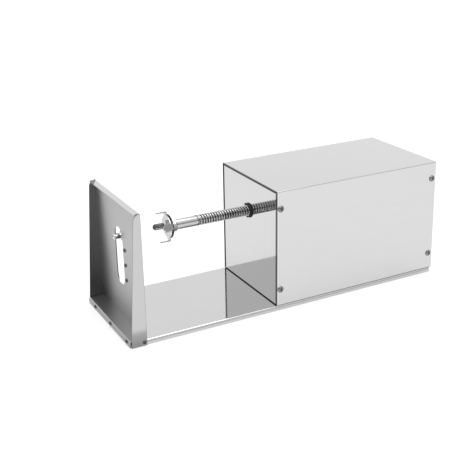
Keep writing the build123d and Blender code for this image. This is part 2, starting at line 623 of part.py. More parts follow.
def rear_wall():
    """Leaning wall with the rocker switch and the power socket."""
    wall = wall_pan(X_END, wall_x(0), X_END - WALL_FLANGE)
    slot = Rectangle(ROCKER_BODY[0] + 2 * PRESSED, ROCKER_BODY[1] + 2 * PRESSED)
    wall = through(wall, rear_face(*ROCKER_PLACE), slot, 3, 1)
    wall = through(wall, rear_face(*JACK_PLACE), Circle(JACK_BARREL + PRESSED), 3, 1)
    for y in END_SCREW_Y:
        wall = through(wall, rear_face(y, END_SCREW_HEIGHT), Circle(M4[0] + SCREW_HOLE), 3, 1)
    return wall


def cover_shell():
    """Sheet folded over the front, top and back of the box, its rear end cut along the wall."""
    low = BED + COVER_LIFT
    height = BOX_TOP - low
    outline = Pos(0, low + height / 2) * Rectangle(WIDTH, height)
    inside = Pos(0, low + (height - BOX_SHEET) / 2) * Rectangle(WIDTH - 2 * BOX_SHEET, height - BOX_SHEET)
    side = Plane(origin=(X_WALL, 0, 0), x_dir=(0, 1, 0), z_dir=(1, 0, 0))
    length = BOX_LENGTH + REAR_LEAN
    cover = extrude(side * outline, length)
    folds = cover.edges().filter_by(Axis.X).filter_by_position(Axis.Z, BOX_TOP - 0.01, BOX_TOP + 0.01)
    cover = fillet(folds, BEND)
    cover -= extrude(side * inside, length)
    far = X_WALL + length + 1
    waste = [(cover_end(-1), BED - 1), (cover_end(BOX_HEIGHT + 1), BOX_TOP + 1)]
    waste += [(far, BOX_TOP + 1), (far, BED - 1)]
    behind = Plane(origin=(0, HALF + 1, 0), x_dir=(1, 0, 0), z_dir=(0, -1, 0))
    cover -= extrude(behind * make_face(Polyline(*waste, close=True)), WIDTH + 2)
    places = [(x, -HALF - 1, z) for x, z in FRONT_WALL_SCREWS + REAR_WALL_SCREWS]
    return holes(cover, places, (0, 1, 0), WIDTH + 2, M4[0] + SCREW_HOLE)


def cover_screws(side):
    """Four screws that hold one side of the cover."""
    reach = 2 * BOX_SHEET + SEAM + COVER_SCREW_END
    places = FRONT_WALL_SCREWS + REAR_WALL_SCREWS
    return group(pan_screw((x, side * HALF, z), (0, side, 0), M4, reach) for x, z in places)


def end_wall_screws():
    """Two screws in the rear wall, which hold the brackets behind it."""
    screws = []
    for y in END_SCREW_Y:
        place = rear_face(y, END_SCREW_HEIGHT)
        screws.append(pan_screw(place.origin, place.z_dir, M4, BOX_SHEET + BRACKET_SCREW_END))
    return group(screws)


def corner_brackets():
    """Angles behind the rear wall that stiffen it against its side rims."""
    brackets = []
    length, sheet, reach = BRACKET
    wall = HALF - 2 * BOX_SHEET - SEAM
    for y in END_SCREW_Y:
        side = 1 if y > 0 else -1
        place = rear_face(y, END_SCREW_HEIGHT)
        y0 = side * wall - y
        y1 = y0 - side * reach
        behind_wall = Pos(*(place.z_dir * -(BOX_SHEET + PRESSED)))
        leg = Pos((y0 + y1) / 2, 0) * Rectangle(reach, length)
        angle = behind_wall * extrude(place * leg, -sheet)
        rim = Pos(y0 - side * sheet / 2, 0) * Rectangle(sheet, length)
        angle += behind_wall * extrude(place * rim, -reach)
        brackets.append(through(angle, place, Circle(M4[0] + TAPPED), 4, 0))
    return group(brackets)


def wall_foot_screws():
    """Screws through the bed into the end walls' lower rims."""
    reach = BASE_SHEET + BOX_SHEET + WALL_SCREW_END
    return group(pan_screw(seat, (0, 0, -1), M4, reach) for seat in WALL_SCREWS)


def wiper_ring():
    """Black bush in the wall round the feed screw, with three small lugs on its rim."""
    face = X_WALL + END_INSET
    bore = SCREW_RADIUS + RUNNING
    back = face + BOX_SHEET
    points = [
        (face - RING_PROUD, bore),
        (face - RING_PROUD, RING_RADIUS - RING_CHAMFER),
        (face - RING_PROUD + RING_CHAMFER, RING_RADIUS),
        (face, RING_RADIUS),
        (face, RING_NECK),
        (back, RING_NECK),
        (back, RING_RADIUS),
        (back + RING_BACK, RING_RADIUS),
        (back + RING_BACK, bore),
    ]
    wiper = turned(points)
    for angle in RING_LUG_ANGLES:
        y = RING_RADIUS * cos(radians(angle))
        z = AXIS + RING_RADIUS * sin(radians(angle))
        start = (face - RING_PROUD + RING_CHAMFER, y, z)
        wiper += bar(start, (1, 0, 0), RING_PROUD - RING_CHAMFER, RING_LUG)
    return wiper


# ---- Fixed drive frame ---------------------------------------------------------------------
def frame_block(x0):
    """Upright aluminium block that carries the guide rods, with rounded shoulders."""
    height = AXIS + BLOCK_CROWN - BED
    side = Plane(origin=(x0, 0, BED + height / 2), x_dir=(0, 1, 0), z_dir=(1, 0, 0))
    upright = extrude(side * Rectangle(2 * BLOCK_HALF_WIDTH, height), BLOCK_THICKNESS)
    shoulders = upright.edges().filter_by(Axis.X).sort_by(Axis.Z)[-2:]
    upright = fillet(shoulders, BLOCK_CORNER)
    rods = [(x0 - 1, y, AXIS) for y in (-ROD_SPREAD, ROD_SPREAD)]
    upright = holes(upright, rods, (1, 0, 0), BLOCK_THICKNESS + 2, ROD_RADIUS + PRESSED)
    grubs = [(x0 + BLOCK_THICKNESS / 2, y, AXIS) for y in (-ROD_SPREAD, ROD_SPREAD)]
    upright = holes(upright, grubs, (0, 0, 1), BLOCK_CROWN + 1, M4[0] + TAPPED)
    bolts = [(x0 + BLOCK_THICKNESS / 2, y, BED - 1) for y in BLOCK_SCREW_Y]
    upright = holes(upright, bolts, (0, 0, 1), BLOCK_BOLT[1] + 1, M5[0] + TAPPED)
    window = Plane(origin=(x0 - 1, 0, BED + BLOCK_WINDOW_HEIGHT), x_dir=(0, 1, 0), z_dir=(1, 0, 0))
    upright -= extrude(window * RectangleRounded(*BLOCK_WINDOW), BLOCK_THICKNESS + 2)
    bar_end = [(x0 - 1, BAR_Y, BAR_Z)]
    return holes(upright, bar_end, (1, 0, 0), BLOCK_THICKNESS + 2, M4[0] + SCREW_HOLE)


def front_block():
    """Block that holds the feed nut."""
    upright = frame_block(X_BLOCK)
    upright -= bar((X_BLOCK - 1, 0, AXIS), (1, 0, 0), BLOCK_THICKNESS + 2, NUT_BODY + PRESSED)
    threads = [(X_BLOCK - 1, y, z) for _, y, z in NUT_SCREWS]
    upright = holes(upright, threads, (1, 0, 0), BLOCK_THICKNESS + 2, M4[0] + TAPPED)
    return upright


def rear_block():
    """Block with a large hole that the motor runs into."""
    x0 = X_REAR_BLOCK - BLOCK_THICKNESS
    upright = frame_block(x0)
    upright -= bar((x0 - 1, 0, AXIS), (1, 0, 0), BLOCK_THICKNESS + 2, MOTOR_PASSAGE)
    return upright


def block_screws():
    """Screws from under the bed into the two blocks."""
    return group(pan_screw(seat, (0, 0, -1), M5, BASE_SHEET + BLOCK_BOLT[0]) for seat in BLOCK_SCREWS)


def guide_rods():
    """Two ground rods between the blocks."""
    length = X_REAR_BLOCK - X_BLOCK
    rods = [bar((X_BLOCK, y, AXIS), (1, 0, 0), length, ROD_RADIUS) for y in (-ROD_SPREAD, ROD_SPREAD)]
    return group(rods)


def rod_grub_screws():
    """Grub screws that clamp the rods in the blocks."""
    grubs = []
    for x in BLOCK_X:
        for y in (-ROD_SPREAD, ROD_SPREAD):
            grubs.append(bar((x, y, AXIS + ROD_RADIUS), (0, 0, 1), ROD_GRUB_LENGTH, M4[0]))
    return group(grubs)


def feed_nut():
    """Flanged bronze nut, fixed in the front block."""
    radius, thickness = NUT_FLANGE
    bore = SCREW_RADIUS + RUNNING
    seat = X_NUT - thickness
    points = [(X_BLOCK, bore), (X_BLOCK, NUT_BODY), (seat, NUT_BODY)]
    points += [(seat, radius), (X_NUT, radius), (X_NUT, bore)]
    nut = turned(points)
    places = [(seat - 1, y, z) for _, y, z in NUT_SCREWS]
    return holes(nut, places, (1, 0, 0), thickness + 2, M4[0] + SCREW_HOLE)


def feed_nut_screws():
    """Screws through the nut's flange."""
    return group(low_screw(seat, (1, 0, 0), M4_LOW, NUT_SCREW_LENGTH) for seat in NUT_SCREWS)


# ---- Limit switches ------------------------------------------------------------------------
def switch_bar():
    """Square bar between the blocks that the limit switches sit on."""
    half = BAR_SIDE / 2
    bar_body = block((BAR_FRONT, BAR_BACK), (BAR_Y - half, BAR_Y + half), (BAR_Z - half, BAR_Z + half))
    for x, inward in ((BAR_FRONT, 1), (BAR_BACK, -1)):
        bar_body -= bar((x, BAR_Y, BAR_Z), (inward, 0, 0), BAR_SCREW_GRIP + 0.3, M4[0] + TAPPED)
    return holes(bar_body, switch_screw_places(), (0, 1, 0), BAR_SIDE + SWITCH_SIZE[1] + 1, M3[0] + TAPPED)


def switch_screw_places():
    """Where a screw passes through each limit switch."""
    return [(x - way * SWITCH_SCREW_SETBACK, SWITCH_Y - 1, BAR_Z) for x, way in SWITCHES]


def switch_bar_screws():
    """A screw through each block into the bar's end."""
    reach = BLOCK_THICKNESS + BAR_SCREW_GRIP
    front = low_screw((X_BLOCK, BAR_Y, BAR_Z), (-1, 0, 0), M4_LOW, reach)
    rear = low_screw((X_REAR_BLOCK, BAR_Y, BAR_Z), (1, 0, 0), M4_LOW, reach)
    return group([front, rear])


def limit_switches():
    """Two microswitches that end the feed each way."""
    depth, thickness, height = SWITCH_SIZE
    bodies = []
    for x, way in SWITCHES:
        xs = tuple(sorted((x, x - way * depth)))
        body = block(xs, (SWITCH_Y, SWITCH_Y + thickness), (SWITCH_Z, SWITCH_Z + height))
        knuckle = (x, SWITCH_Y - 1, SWITCH_Z + LEVER_FOOT)
        body -= bar(knuckle, (0, 1, 0), thickness + 2, LEVER_KNUCKLE + RUNNING)
        screw = (x - way * SWITCH_SCREW_SETBACK, SWITCH_Y - 1, BAR_Z)
        body -= bar(screw, (0, 1, 0), thickness + 2, M3[0] + SCREW_HOLE)
        bodies.append(body)
    return group(bodies)


def limit_switch_screws():
    """One screw through each limit switch."""
    places = [(x, y + 1, z) for x, y, z in switch_screw_places()]
    reach = SWITCH_SIZE[1] + SWITCH_SCREW_GRIP
    return group(low_screw(seat, (0, -1, 0), M3_LOW, reach) for seat in places)


def limit_lever(index):
    """Sprung lever of one limit switch, leaning towards the trip finger."""
    x, way = SWITCHES[index]
    y0 = SWITCH_Y + (SWITCH_SIZE[1] - LEVER_WIDTH) / 2
    z0 = SWITCH_Z + LEVER_FOOT
    lever = bar((x, y0, z0), (0, 1, 0), LEVER_WIDTH, LEVER_KNUCKLE)
    strip = Box(LEVER_SHEET, LEVER_WIDTH, LEVER_LENGTH, align=(Align.CENTER, Align.MIN, Align.MIN))
    offset = way * (LEVER_KNUCKLE - LEVER_SHEET / 2)
    return lever + Pos(x, y0, z0) * (Rot(0, way * LEVER_LEAN, 0) * (Pos(offset, 0, 0) * strip))


# ---- Control board -------------------------------------------------------------------------
def control_board():
    """Circuit board that reverses the motor."""
    length, width, thickness = BOARD_SIZE
    top = BOARD_Z + thickness
    board = block((BOARD_X, BOARD_X + length), (BOARD_Y, BOARD_Y + width), (BOARD_Z, top))
    places = [(x, y, BOARD_Z - 1) for x, y in BOARD_HOLES]
    return holes(board, places, (0, 0, 1), thickness + 2, M3[0] + SCREW_HOLE)


def board_standoffs():
    """Spacers between the bed and the board."""
    radius, height = STANDOFF
    bore = M3[0] + SCREW_HOLE
    posts = []
    for x, y in BOARD_HOLES:
        post = bar((x, y, BED), (0, 0, 1), height, radius)
        posts.append(post - bar((x, y, BED - 1), (0, 0, 1), height + 2, bore))
    return group(posts)


def board_screws():
    """Screws from under the bed, through spacer and board."""
    reach = BASE_SHEET + STANDOFF[1] + BOARD_SIZE[2] + BOARD_SCREW_END
    below = BED - BASE_SHEET
    return group(low_screw((x, y, below), (0, 0, -1), M3_LOW, reach) for x, y in BOARD_HOLES)


def board_nuts():
    """Nuts on the board's screws."""
    flats, height = BOARD_NUT
    top = BOARD_Z + BOARD_SIZE[2]
    nuts = []
    for x, y in BOARD_HOLES:
        nut = hexagon((x, y, top), (0, 0, 1), height, flats)
        nuts.append(nut - bar((x, y, top - 1), (0, 0, 1), height + 2, M3[0] + TAPPED))
    return group(nuts)


def board_relays():
    """Two relays on the board."""
    length, width, height = RELAY_SIZE
    top = BOARD_Z + BOARD_SIZE[2]
    x0 = BOARD_X + RELAY_PLACE[0]
    first = BOARD_Y + RELAY_PLACE[1]
    relays = []
    for y0 in (first, first + width + RELAY_GAP):
        relay = block((x0, x0 + length), (y0, y0 + width), (top, top + height))
        relays.append(chamfer(relay.edges().filter_by(Axis.Z), RELAY_CORNER))
    return group(relays)


def terminal_block():
    """Row of screw terminals at the board's edge."""
    length, width, height = TERMINAL_SIZE
    x0 = BOARD_X + TERMINAL_PLACE[0]
    y0 = BOARD_Y + TERMINAL_PLACE[1]
    top = BOARD_Z + BOARD_SIZE[2]
    body = block((x0, x0 + width), (y0, y0 + length), (top, top + height))
    body = chamfer(body.edges().filter_by(Axis.Y).sort_by(Axis.Z)[-2:], TERMINAL_CORNER)
    radius, bottom = TERMINAL_HOLE
    pitch = length / TERMINAL_COUNT
    for i in range(TERMINAL_COUNT):
        body -= bar((x0 + width / 2, y0 + pitch * (i + 0.5), top + bottom), (0, 0, 1), height, radius)
    return body


# ---- Switch and socket on the rear wall ----------------------------------------------------
def rocker_bezel():
    """Frame and body of the rocker switch."""
    face = rear_face(*ROCKER_PLACE)
    wide, tall, proud = ROCKER_BEZEL
    bezel = extrude(RectangleRounded(wide, tall, ROCKER_BEZEL_CORNER), proud)
    bezel = chamfer(bezel.faces().sort_by(Axis.Z)[-1].edges(), ROCKER_BEZEL_CHAMFER)
    bezel += extrude(Rectangle(ROCKER_BODY[0], ROCKER_BODY[1]), -ROCKER_BODY[2])
    opening = Rectangle(ROCKER_WIDTH + 2 * ROCKER_GAP, 2 * (ROCKER_SWING + ROCKER_GAP))
    pocket = ROCKER_DEPTH + ROCKER_POCKET
    bezel -= Pos(0, 0, -pocket) * extrude(opening, pocket + proud + 1)
    reach = ROCKER_WIDTH / 2 + ROCKER_GAP + ROCKER_PIN_END[1]
    bezel -= bar((-reach, 0, ROCKER_PIVOT), (1, 0, 0), 2 * reach, ROCKER_PIN + RUNNING)
    return face.location * bezel


def rocker_button():
    """Three-position rocker: forward, stop and back."""
    swing = ROCKER_SWING
    dip = ROCKER_CROWN - ROCKER_DISH
    points = [(-swing, -ROCKER_DEPTH), (swing, -ROCKER_DEPTH), (swing, ROCKER_CROWN)]
    points += [(ROCKER_LIP, ROCKER_CROWN), (0, dip), (-ROCKER_LIP, ROCKER_CROWN)]
    points += [(-swing, ROCKER_CROWN)]
    outline = make_face(Polyline(*points, close=True)) & Circle(swing)
    side = Plane(origin=(-ROCKER_WIDTH / 2, 0, ROCKER_PIVOT), x_dir=(0, 1, 0), z_dir=(1, 0, 0))
    paddle = extrude(side * outline, ROCKER_WIDTH)
    reach = ROCKER_WIDTH / 2 + ROCKER_GAP + ROCKER_PIN_END[0]
    paddle += bar((-reach, 0, ROCKER_PIVOT), (1, 0, 0), 2 * reach, ROCKER_PIN)
    return rear_face(*ROCKER_PLACE).location * paddle


def power_jack():
    """Round low-voltage socket with its centre pin."""
    radius, proud = JACK_FLANGE
    mouth, depth = JACK_MOUTH
    pin, setback = JACK_PIN
    back = proud - JACK_LENGTH
    points = [
        (0, back),
        (JACK_BARREL, back),
        (JACK_BARREL, 0),
        (radius, 0),
        (radius, proud - JACK_CHAMFER),
        (radius - JACK_CHAMFER, proud),
        (mouth, proud),
        (mouth, proud - depth),
        (pin, proud - depth),
        (pin, proud - setback),
        (0, proud - setback),
    ]
    socket = revolve(Plane.XZ * make_face(Polyline(*points, close=True)), Axis.Z)
    return rear_face(*JACK_PLACE).location * socket


def power_jack_nut():
    """Nut behind the wall on the socket's barrel."""
    flats, height = JACK_NUT
    outline = RegularPolygon(flats / 2, 6, major_radius=False) - Circle(JACK_BARREL + TAPPED)
    nut = extrude(outline, -height)
    return rear_face(*JACK_PLACE).location * (Pos(0, 0, -BOX_SHEET) * nut)


# ---- Carriage ------------------------------------------------------------------------------
def carriage_plate():
    """Plate that slides on the rods and carries the motor and the screw's tail."""
    half_y, half_z = CARRIAGE_HALF
    side = Plane(origin=(X_CARRIAGE, 0, AXIS), x_dir=(0, 1, 0), z_dir=(1, 0, 0))
    plate = extrude(side * RectangleRounded(2 * half_y, 2 * half_z, CARRIAGE_CORNER), CARRIAGE_THICKNESS)
    radius, width = BEARING
    plate -= bar((X_CARRIAGE - 1, 0, AXIS), (1, 0, 0), width + 1, radius + PRESSED)
    plate -= bar((X_CARRIAGE, 0, AXIS), (1, 0, 0), CARRIAGE_THICKNESS + 1, radius - BEARING_LIP)
    for y in (-ROD_SPREAD, ROD_SPREAD):
        plate -= bar((X_CARRIAGE - 1, y, AXIS), (1, 0, 0), CARRIAGE_THICKNESS + 2, BUSH_RADIUS + PRESSED)
        threads = round_places(X_CARRIAGE - 1, 4, BUSH_SCREW_CIRCLE, 45, y)
        plate = holes(plate, threads, (1, 0, 0), CARRIAGE_THICKNESS + 2, M3[0] + TAPPED)
    threads = [(X_CARRIAGE - 1, y, z) for _, y, z in CAP_SCREWS]
    plate = holes(plate, threads, (1, 0, 0), CARRIAGE_THICKNESS - 1, M3[0] + TAPPED)
    depth = PILLAR_STUD[1]
    studs = [(X_CARRIAGE_BACK - depth, y, z) for _, y, z in MOTOR_SCREWS]
    plate = holes(plate, studs, (1, 0, 0), depth + 1, M3[0] + TAPPED)
    return holes(plate, [finger_screw_place()], (0, 0, 1), FINGER_SCREW[2], M3[0] + TAPPED)


def finger_screw_place():
    """Where the trip finger is screwed to the carriage plate's lower edge."""
    y = SWITCH_Y + SWITCH_SIZE[1] / 2
    return (X_FINGER - FINGER_SCREW[0], y, AXIS - CARRIAGE_HALF[1])


def trip_finger():
    """Bent tab under the carriage plate that meets the limit switches."""
    y = SWITCH_Y + SWITCH_SIZE[1] / 2
    ys = (y - FINGER_WIDTH / 2, y + FINGER_WIDTH / 2)
    top = AXIS - CARRIAGE_HALF[1]
    low = SWITCH_Z + FINGER_DROP * LEVER_LENGTH
    finger = block((X_FINGER - FINGER_TAB, X_FINGER + FINGER_SHEET), ys, (top - FINGER_SHEET, top))
    finger += block((X_FINGER, X_FINGER + FINGER_SHEET), ys, (low, top))
    x, y, z = finger_screw_place()
    return finger - bar((x, y, z - FINGER_SHEET - 1), (0, 0, 1), FINGER_SHEET + 2, M3[0] + SCREW_HOLE)


def trip_finger_screw():
    """Screw that holds the trip finger."""
    x, y, z = finger_screw_place()
    return low_screw((x, y, z - FINGER_SHEET), (0, 0, -1), M3_LOW, FINGER_SCREW[1])


def linear_bushes():
    """Flanged bushes that slide on the guide rods."""
    radius, thickness = BUSH_FLANGE
    back = X_CARRIAGE_BACK
    front = back + thickness - BUSH_LENGTH
    bore = ROD_RADIUS + RUNNING
    points = [(front, bore), (front, BUSH_RADIUS), (back, BUSH_RADIUS), (back, radius)]
    points += [(back + thickness, radius), (back + thickness, bore)]
    bushes = []
    for y in (-ROD_SPREAD, ROD_SPREAD):
        places = round_places(back - 1, 4, BUSH_SCREW_CIRCLE, 45, y)
        bushes.append(holes(turned(points, y), places, (1, 0, 0), thickness + 2, M3[0] + SCREW_HOLE))
    return group(bushes)


def bush_screws():
    """Screws through the bushes' flanges."""
    seats = []
    for y in (-ROD_SPREAD, ROD_SPREAD):
        seats += round_places(X_CARRIAGE_BACK + BUSH_FLANGE[1], 4, BUSH_SCREW_CIRCLE, 45, y)
    reach = BUSH_FLANGE[1] + BUSH_SCREW_GRIP
    return group(low_screw(seat, (1, 0, 0), M3_LOW, reach) for seat in seats)


def tail_bearing():
    """Sealed ball bearing that takes the feed screw's thrust."""
    radius, width = BEARING
    inner = JOURNAL_RADIUS + RUNNING
    seal = (inner + BEARING_LIP, radius - BEARING_LIP)
    sunk = X_CARRIAGE + BEARING_SEAL
    points = [
        (X_CARRIAGE, inner),
        (X_CARRIAGE, seal[0]),
        (sunk, seal[0]),
        (sunk, seal[1]),
        (X_CARRIAGE, seal[1]),
        (X_CARRIAGE, radius),
        (X_CARRIAGE + width, radius),
        (X_CARRIAGE + width, inner),
    ]
    return turned(points)


def bearing_cap():
    """Ring that keeps the bearing in the carriage plate."""
    cap = ring(X_CAP, X_CARRIAGE, BEARING[0] + CAP_RIM, BEARING[0] - BEARING_LIP)
    places = [(X_CAP - 1, y, z) for _, y, z in CAP_SCREWS]
    return holes(cap, places, (1, 0, 0), CAP_THICKNESS + 2, M3[1] + 0.1)


def bearing_cap_screws():
    """Screws sunk in the bearing cap."""
    seats = [(X_CARRIAGE - M3_LOW[2], y, z) for _, y, z in CAP_SCREWS]
    shank = M3_LOW[2] + CARRIAGE_THICKNESS - CAP_SCREW_SHORT
    return group(low_screw(seat, (-1, 0, 0), M3_LOW, shank) for seat in seats)


def motor_pillars():
    """Spacers between the carriage plate and the gearbox."""
    pillars = []
    for _, y, z in MOTOR_SCREWS:
        post = bar((X_CARRIAGE_BACK, y, z), (1, 0, 0), PILLAR_LENGTH, PILLAR_RADIUS)
        pillars.append(post + bar((X_CARRIAGE_BACK, y, z), (-1, 0, 0), PILLAR_STUD[0], M3[0]))
    return group(pillars)


def gearbox():
    """Round reduction gearbox with its shaft boss."""
    radius, length = GEARBOX
    boss = MOTOR_SHAFT_RADIUS + GEARBOX_BOSS[0]
    boss_end = X_GEARBOX - GEARBOX_BOSS[1]
    bore = MOTOR_SHAFT_RADIUS + RUNNING
    bore_end = X_GEARBOX + SHAFT_BORE[0]
    points = [
        (boss_end, bore),
        (boss_end, boss),
        (X_GEARBOX, boss),
        (X_GEARBOX, radius - GEARBOX_CHAMFER),
        (X_GEARBOX + GEARBOX_CHAMFER, radius),
        (X_GEARBOX + length, radius),
        (X_GEARBOX + length, 0),
        (bore_end, 0),
        (bore_end, bore),
    ]
    return turned(points)


def gear_motor():
    """Motor can behind the gearbox, with its end cap and terminals."""
    radius, length = MOTOR
    cap_radius, cap_length = MOTOR_CAP
    cap_foot, cap_top = MOTOR_CAP_STEP
    front = X_GEARBOX + GEARBOX[1]
    back = front + length
    points = [
        (front, 0),
        (front, radius),
        (back - MOTOR_CHAMFER, radius),
        (back, radius - MOTOR_CHAMFER),
        (back, cap_radius - cap_foot),
        (back + cap_length, cap_radius - cap_top),
        (back + cap_length, 0),
    ]
    motor = turned(points)
    sheet, wide, inset = MOTOR_TAB
    for side in (-1, 1):
        inner = side * (cap_radius - inset)
        heights = (AXIS - wide / 2, AXIS + wide / 2)
        motor += block((back - 0.5, back + cap_length), (inner, inner + sheet), heights)
    return motor


# ---- Parts that turn with the feed screw ---------------------------------------------------
def feed_screw():
    """Feed screw: spigot for the holder, plain shank, threaded length and tail journal."""
    socket_end = X_TIP + SOCKET_DEPTH
    journal_end = X_CARRIAGE_BACK + COUPLING_GAP + COUPLING[1] / 2
    points = [
        (X_TIP, GUIDE_BORE),
        (X_TIP, SPIGOT_RADIUS - SPIGOT_CHAMFER),
        (X_TIP + SPIGOT_CHAMFER, SPIGOT_RADIUS),
        (X_HUB, SPIGOT_RADIUS),
        (X_HUB, SHANK_RADIUS),
        (X_WALL - THREAD_START - SCREW_RADIUS + SHANK_RADIUS, SHANK_RADIUS),
        (X_WALL - THREAD_START, SCREW_RADIUS),
        (X_CARRIAGE, SCREW_RADIUS),
        (X_CARRIAGE, JOURNAL_RADIUS),
        (journal_end, JOURNAL_RADIUS),
        (journal_end, 0),
        (socket_end + SOCKET_POINT, 0),
        (socket_end, GUIDE_BORE),
    ]
    return turned(points)


def holder_hub():
    """Hexagonal hub with a flange that backs the holder disc."""
    radius, thickness = HUB_FLANGE
    slope, share_end, share_side = HUB_CHAMFER
    hub = hexagon((X_HUB, 0, AXIS), (-1, 0, 0), HUB_LENGTH, HUB_FLATS)
    chamfered = turned(
        [
            (X_HUB - HUB_LENGTH - 1, 0),
            (X_HUB - HUB_LENGTH - 1, 2 * HUB_FLATS),
            (X_HUB - slope, HUB_FLATS * share_side),
            (X_HUB, HUB_FLATS * share_end),
            (X_HUB, 0),
        ]
    )
    hub &= chamfered
    x0 = X_HUB - HUB_LENGTH
    x1 = x0 - thickness
    hub += turned([(x1, 0), (x1, radius), (x0 - 0.8, radius), (x0, radius - 1.5), (x0, 0)])
    reach = HUB_LENGTH + thickness + 2
    return hub - bar((X_HUB + 1, 0, AXIS), (-1, 0, 0), reach, SPIGOT_RADIUS + PRESSED)


def holder_disc():
    """Dark backing disc behind the prongs."""
    disc = ring(X_PRONG_PLATE, X_DISC, DISC_RADIUS, SPIGOT_RADIUS + PRESSED)
    circles = disc.edges().filter_by(GeomType.CIRCLE)
    return fillet(circles.filter_by(lambda edge: edge.radius > DISC_RADIUS - 0.1), DISC_ROUND)


def prong_plate():
    """Sheet disc whose four arms are folded forward into prongs."""
    face = X_PRONG_PLATE - PRONG_SHEET
    plate = bar((face, 0, AXIS), (1, 0, 0), PRONG_SHEET, DISC_RADIUS - PRONG_PLATE_EDGE)
    half = PRONG_WIDTH / 2
    tip = PRONG_LENGTH - half
    for i in range(PRONG_COUNT):
        arm = block((face, X_PRONG_PLATE), (0, PRONG_RADIUS), (-half, half))
        tine = Plane(origin=(face + PRONG_SHEET, PRONG_RADIUS, 0), x_dir=(-1, 0, 0), z_dir=(0, -1, 0))
        side = make_face(Polyline((0, -half), (tip, -half), (tip, half), (0, half), close=True))
        side += Pos(tip, 0) * Circle(half)
        prong = arm + extrude(tine * side, PRONG_SHEET)
        upright = prong.edges().filter_by(Axis.Z)
        fold = upright.filter_by_position(Axis.X, X_PRONG_PLATE - 0.01, X_PRONG_PLATE + 0.01)
        prong = fillet(fold.sort_by(Axis.Y)[-1], PRONG_SHEET * 0.9)
        plate += Pos(0, 0, AXIS) * (Rot(PRONG_ANGLE + 360 * i / PRONG_COUNT, 0, 0) * prong)
    return plate - bar((face - 1, 0, AXIS), (1, 0, 0), PRONG_SHEET + 2, SPIGOT_RADIUS + PRESSED)


def jam_nut():
    """Thin nut that clamps the prong plate and disc on the spigot."""
    flats, height = JAM_NUT
    slope, share_end, share_side = JAM_CHAMFER
    nut = hexagon((X_JAM, 0, AXIS), (-1, 0, 0), height, flats)
    dome = turned(
        [
            (X_JAM - height, 0),
            (X_JAM - height, flats * share_end),
            (X_JAM - height + slope, flats * share_side),
            (X_JAM + 1, flats * share_side),
            (X_JAM + 1, 0),
        ]
    )
    nut &= dome
    return nut - bar((X_JAM + 1, 0, AXIS), (-1, 0, 0), height + 2, SPIGOT_RADIUS + PRESSED)


def shaft_coupling():
    """Clamp coupling between the screw's tail and the gearbox shaft."""
    radius, length = COUPLING
    x0 = X_CARRIAGE_BACK + COUPLING_GAP
    x1 = x0 + length
    middle = x0 + length / 2
    bevel = COUPLING_CHAMFER
    points = [
        (x0, JOURNAL_RADIUS + PRESSED),
        (x0, radius - bevel),
        (x0 + bevel, radius),
        (x1 - bevel, radius),
        (x1, radius - bevel),
        (x1, MOTOR_SHAFT_RADIUS + PRESSED),
        (middle, MOTOR_SHAFT_RADIUS + PRESSED),
        (middle, JOURNAL_RADIUS + PRESSED),
    ]
    coupling = turned(points)
    return holes(coupling, coupling_screw_places(), (0, 0, 1), radius + 1, M4[0] + TAPPED)


def coupling_screw_places():
    """Where the coupling's two grub screws meet their shafts."""
    length = COUPLING[1]
    x0 = X_CARRIAGE_BACK + COUPLING_GAP
    tail, shaft = x0 + length / 4, x0 + 3 * length / 4
    return [(tail, 0, AXIS + JOURNAL_RADIUS), (shaft, 0, AXIS + MOTOR_SHAFT_RADIUS)]


def coupling_screws():
    """Grub screws in the coupling."""
    return group(bar(place, (0, 0, 1), COUPLING_GRUB, M4[0]) for place in coupling_screw_places())


def motor_shaft():
    """Output shaft of the gearbox."""
    x0 = X_CARRIAGE_BACK + COUPLING_GAP + COUPLING[1] / 2 + 1
    x1 = X_GEARBOX + SHAFT_BORE[0] - SHAFT_BORE[1]
    return bar((x0, 0, AXIS), (1, 0, 0), x1 - x0, MOTOR_SHAFT_RADIUS)


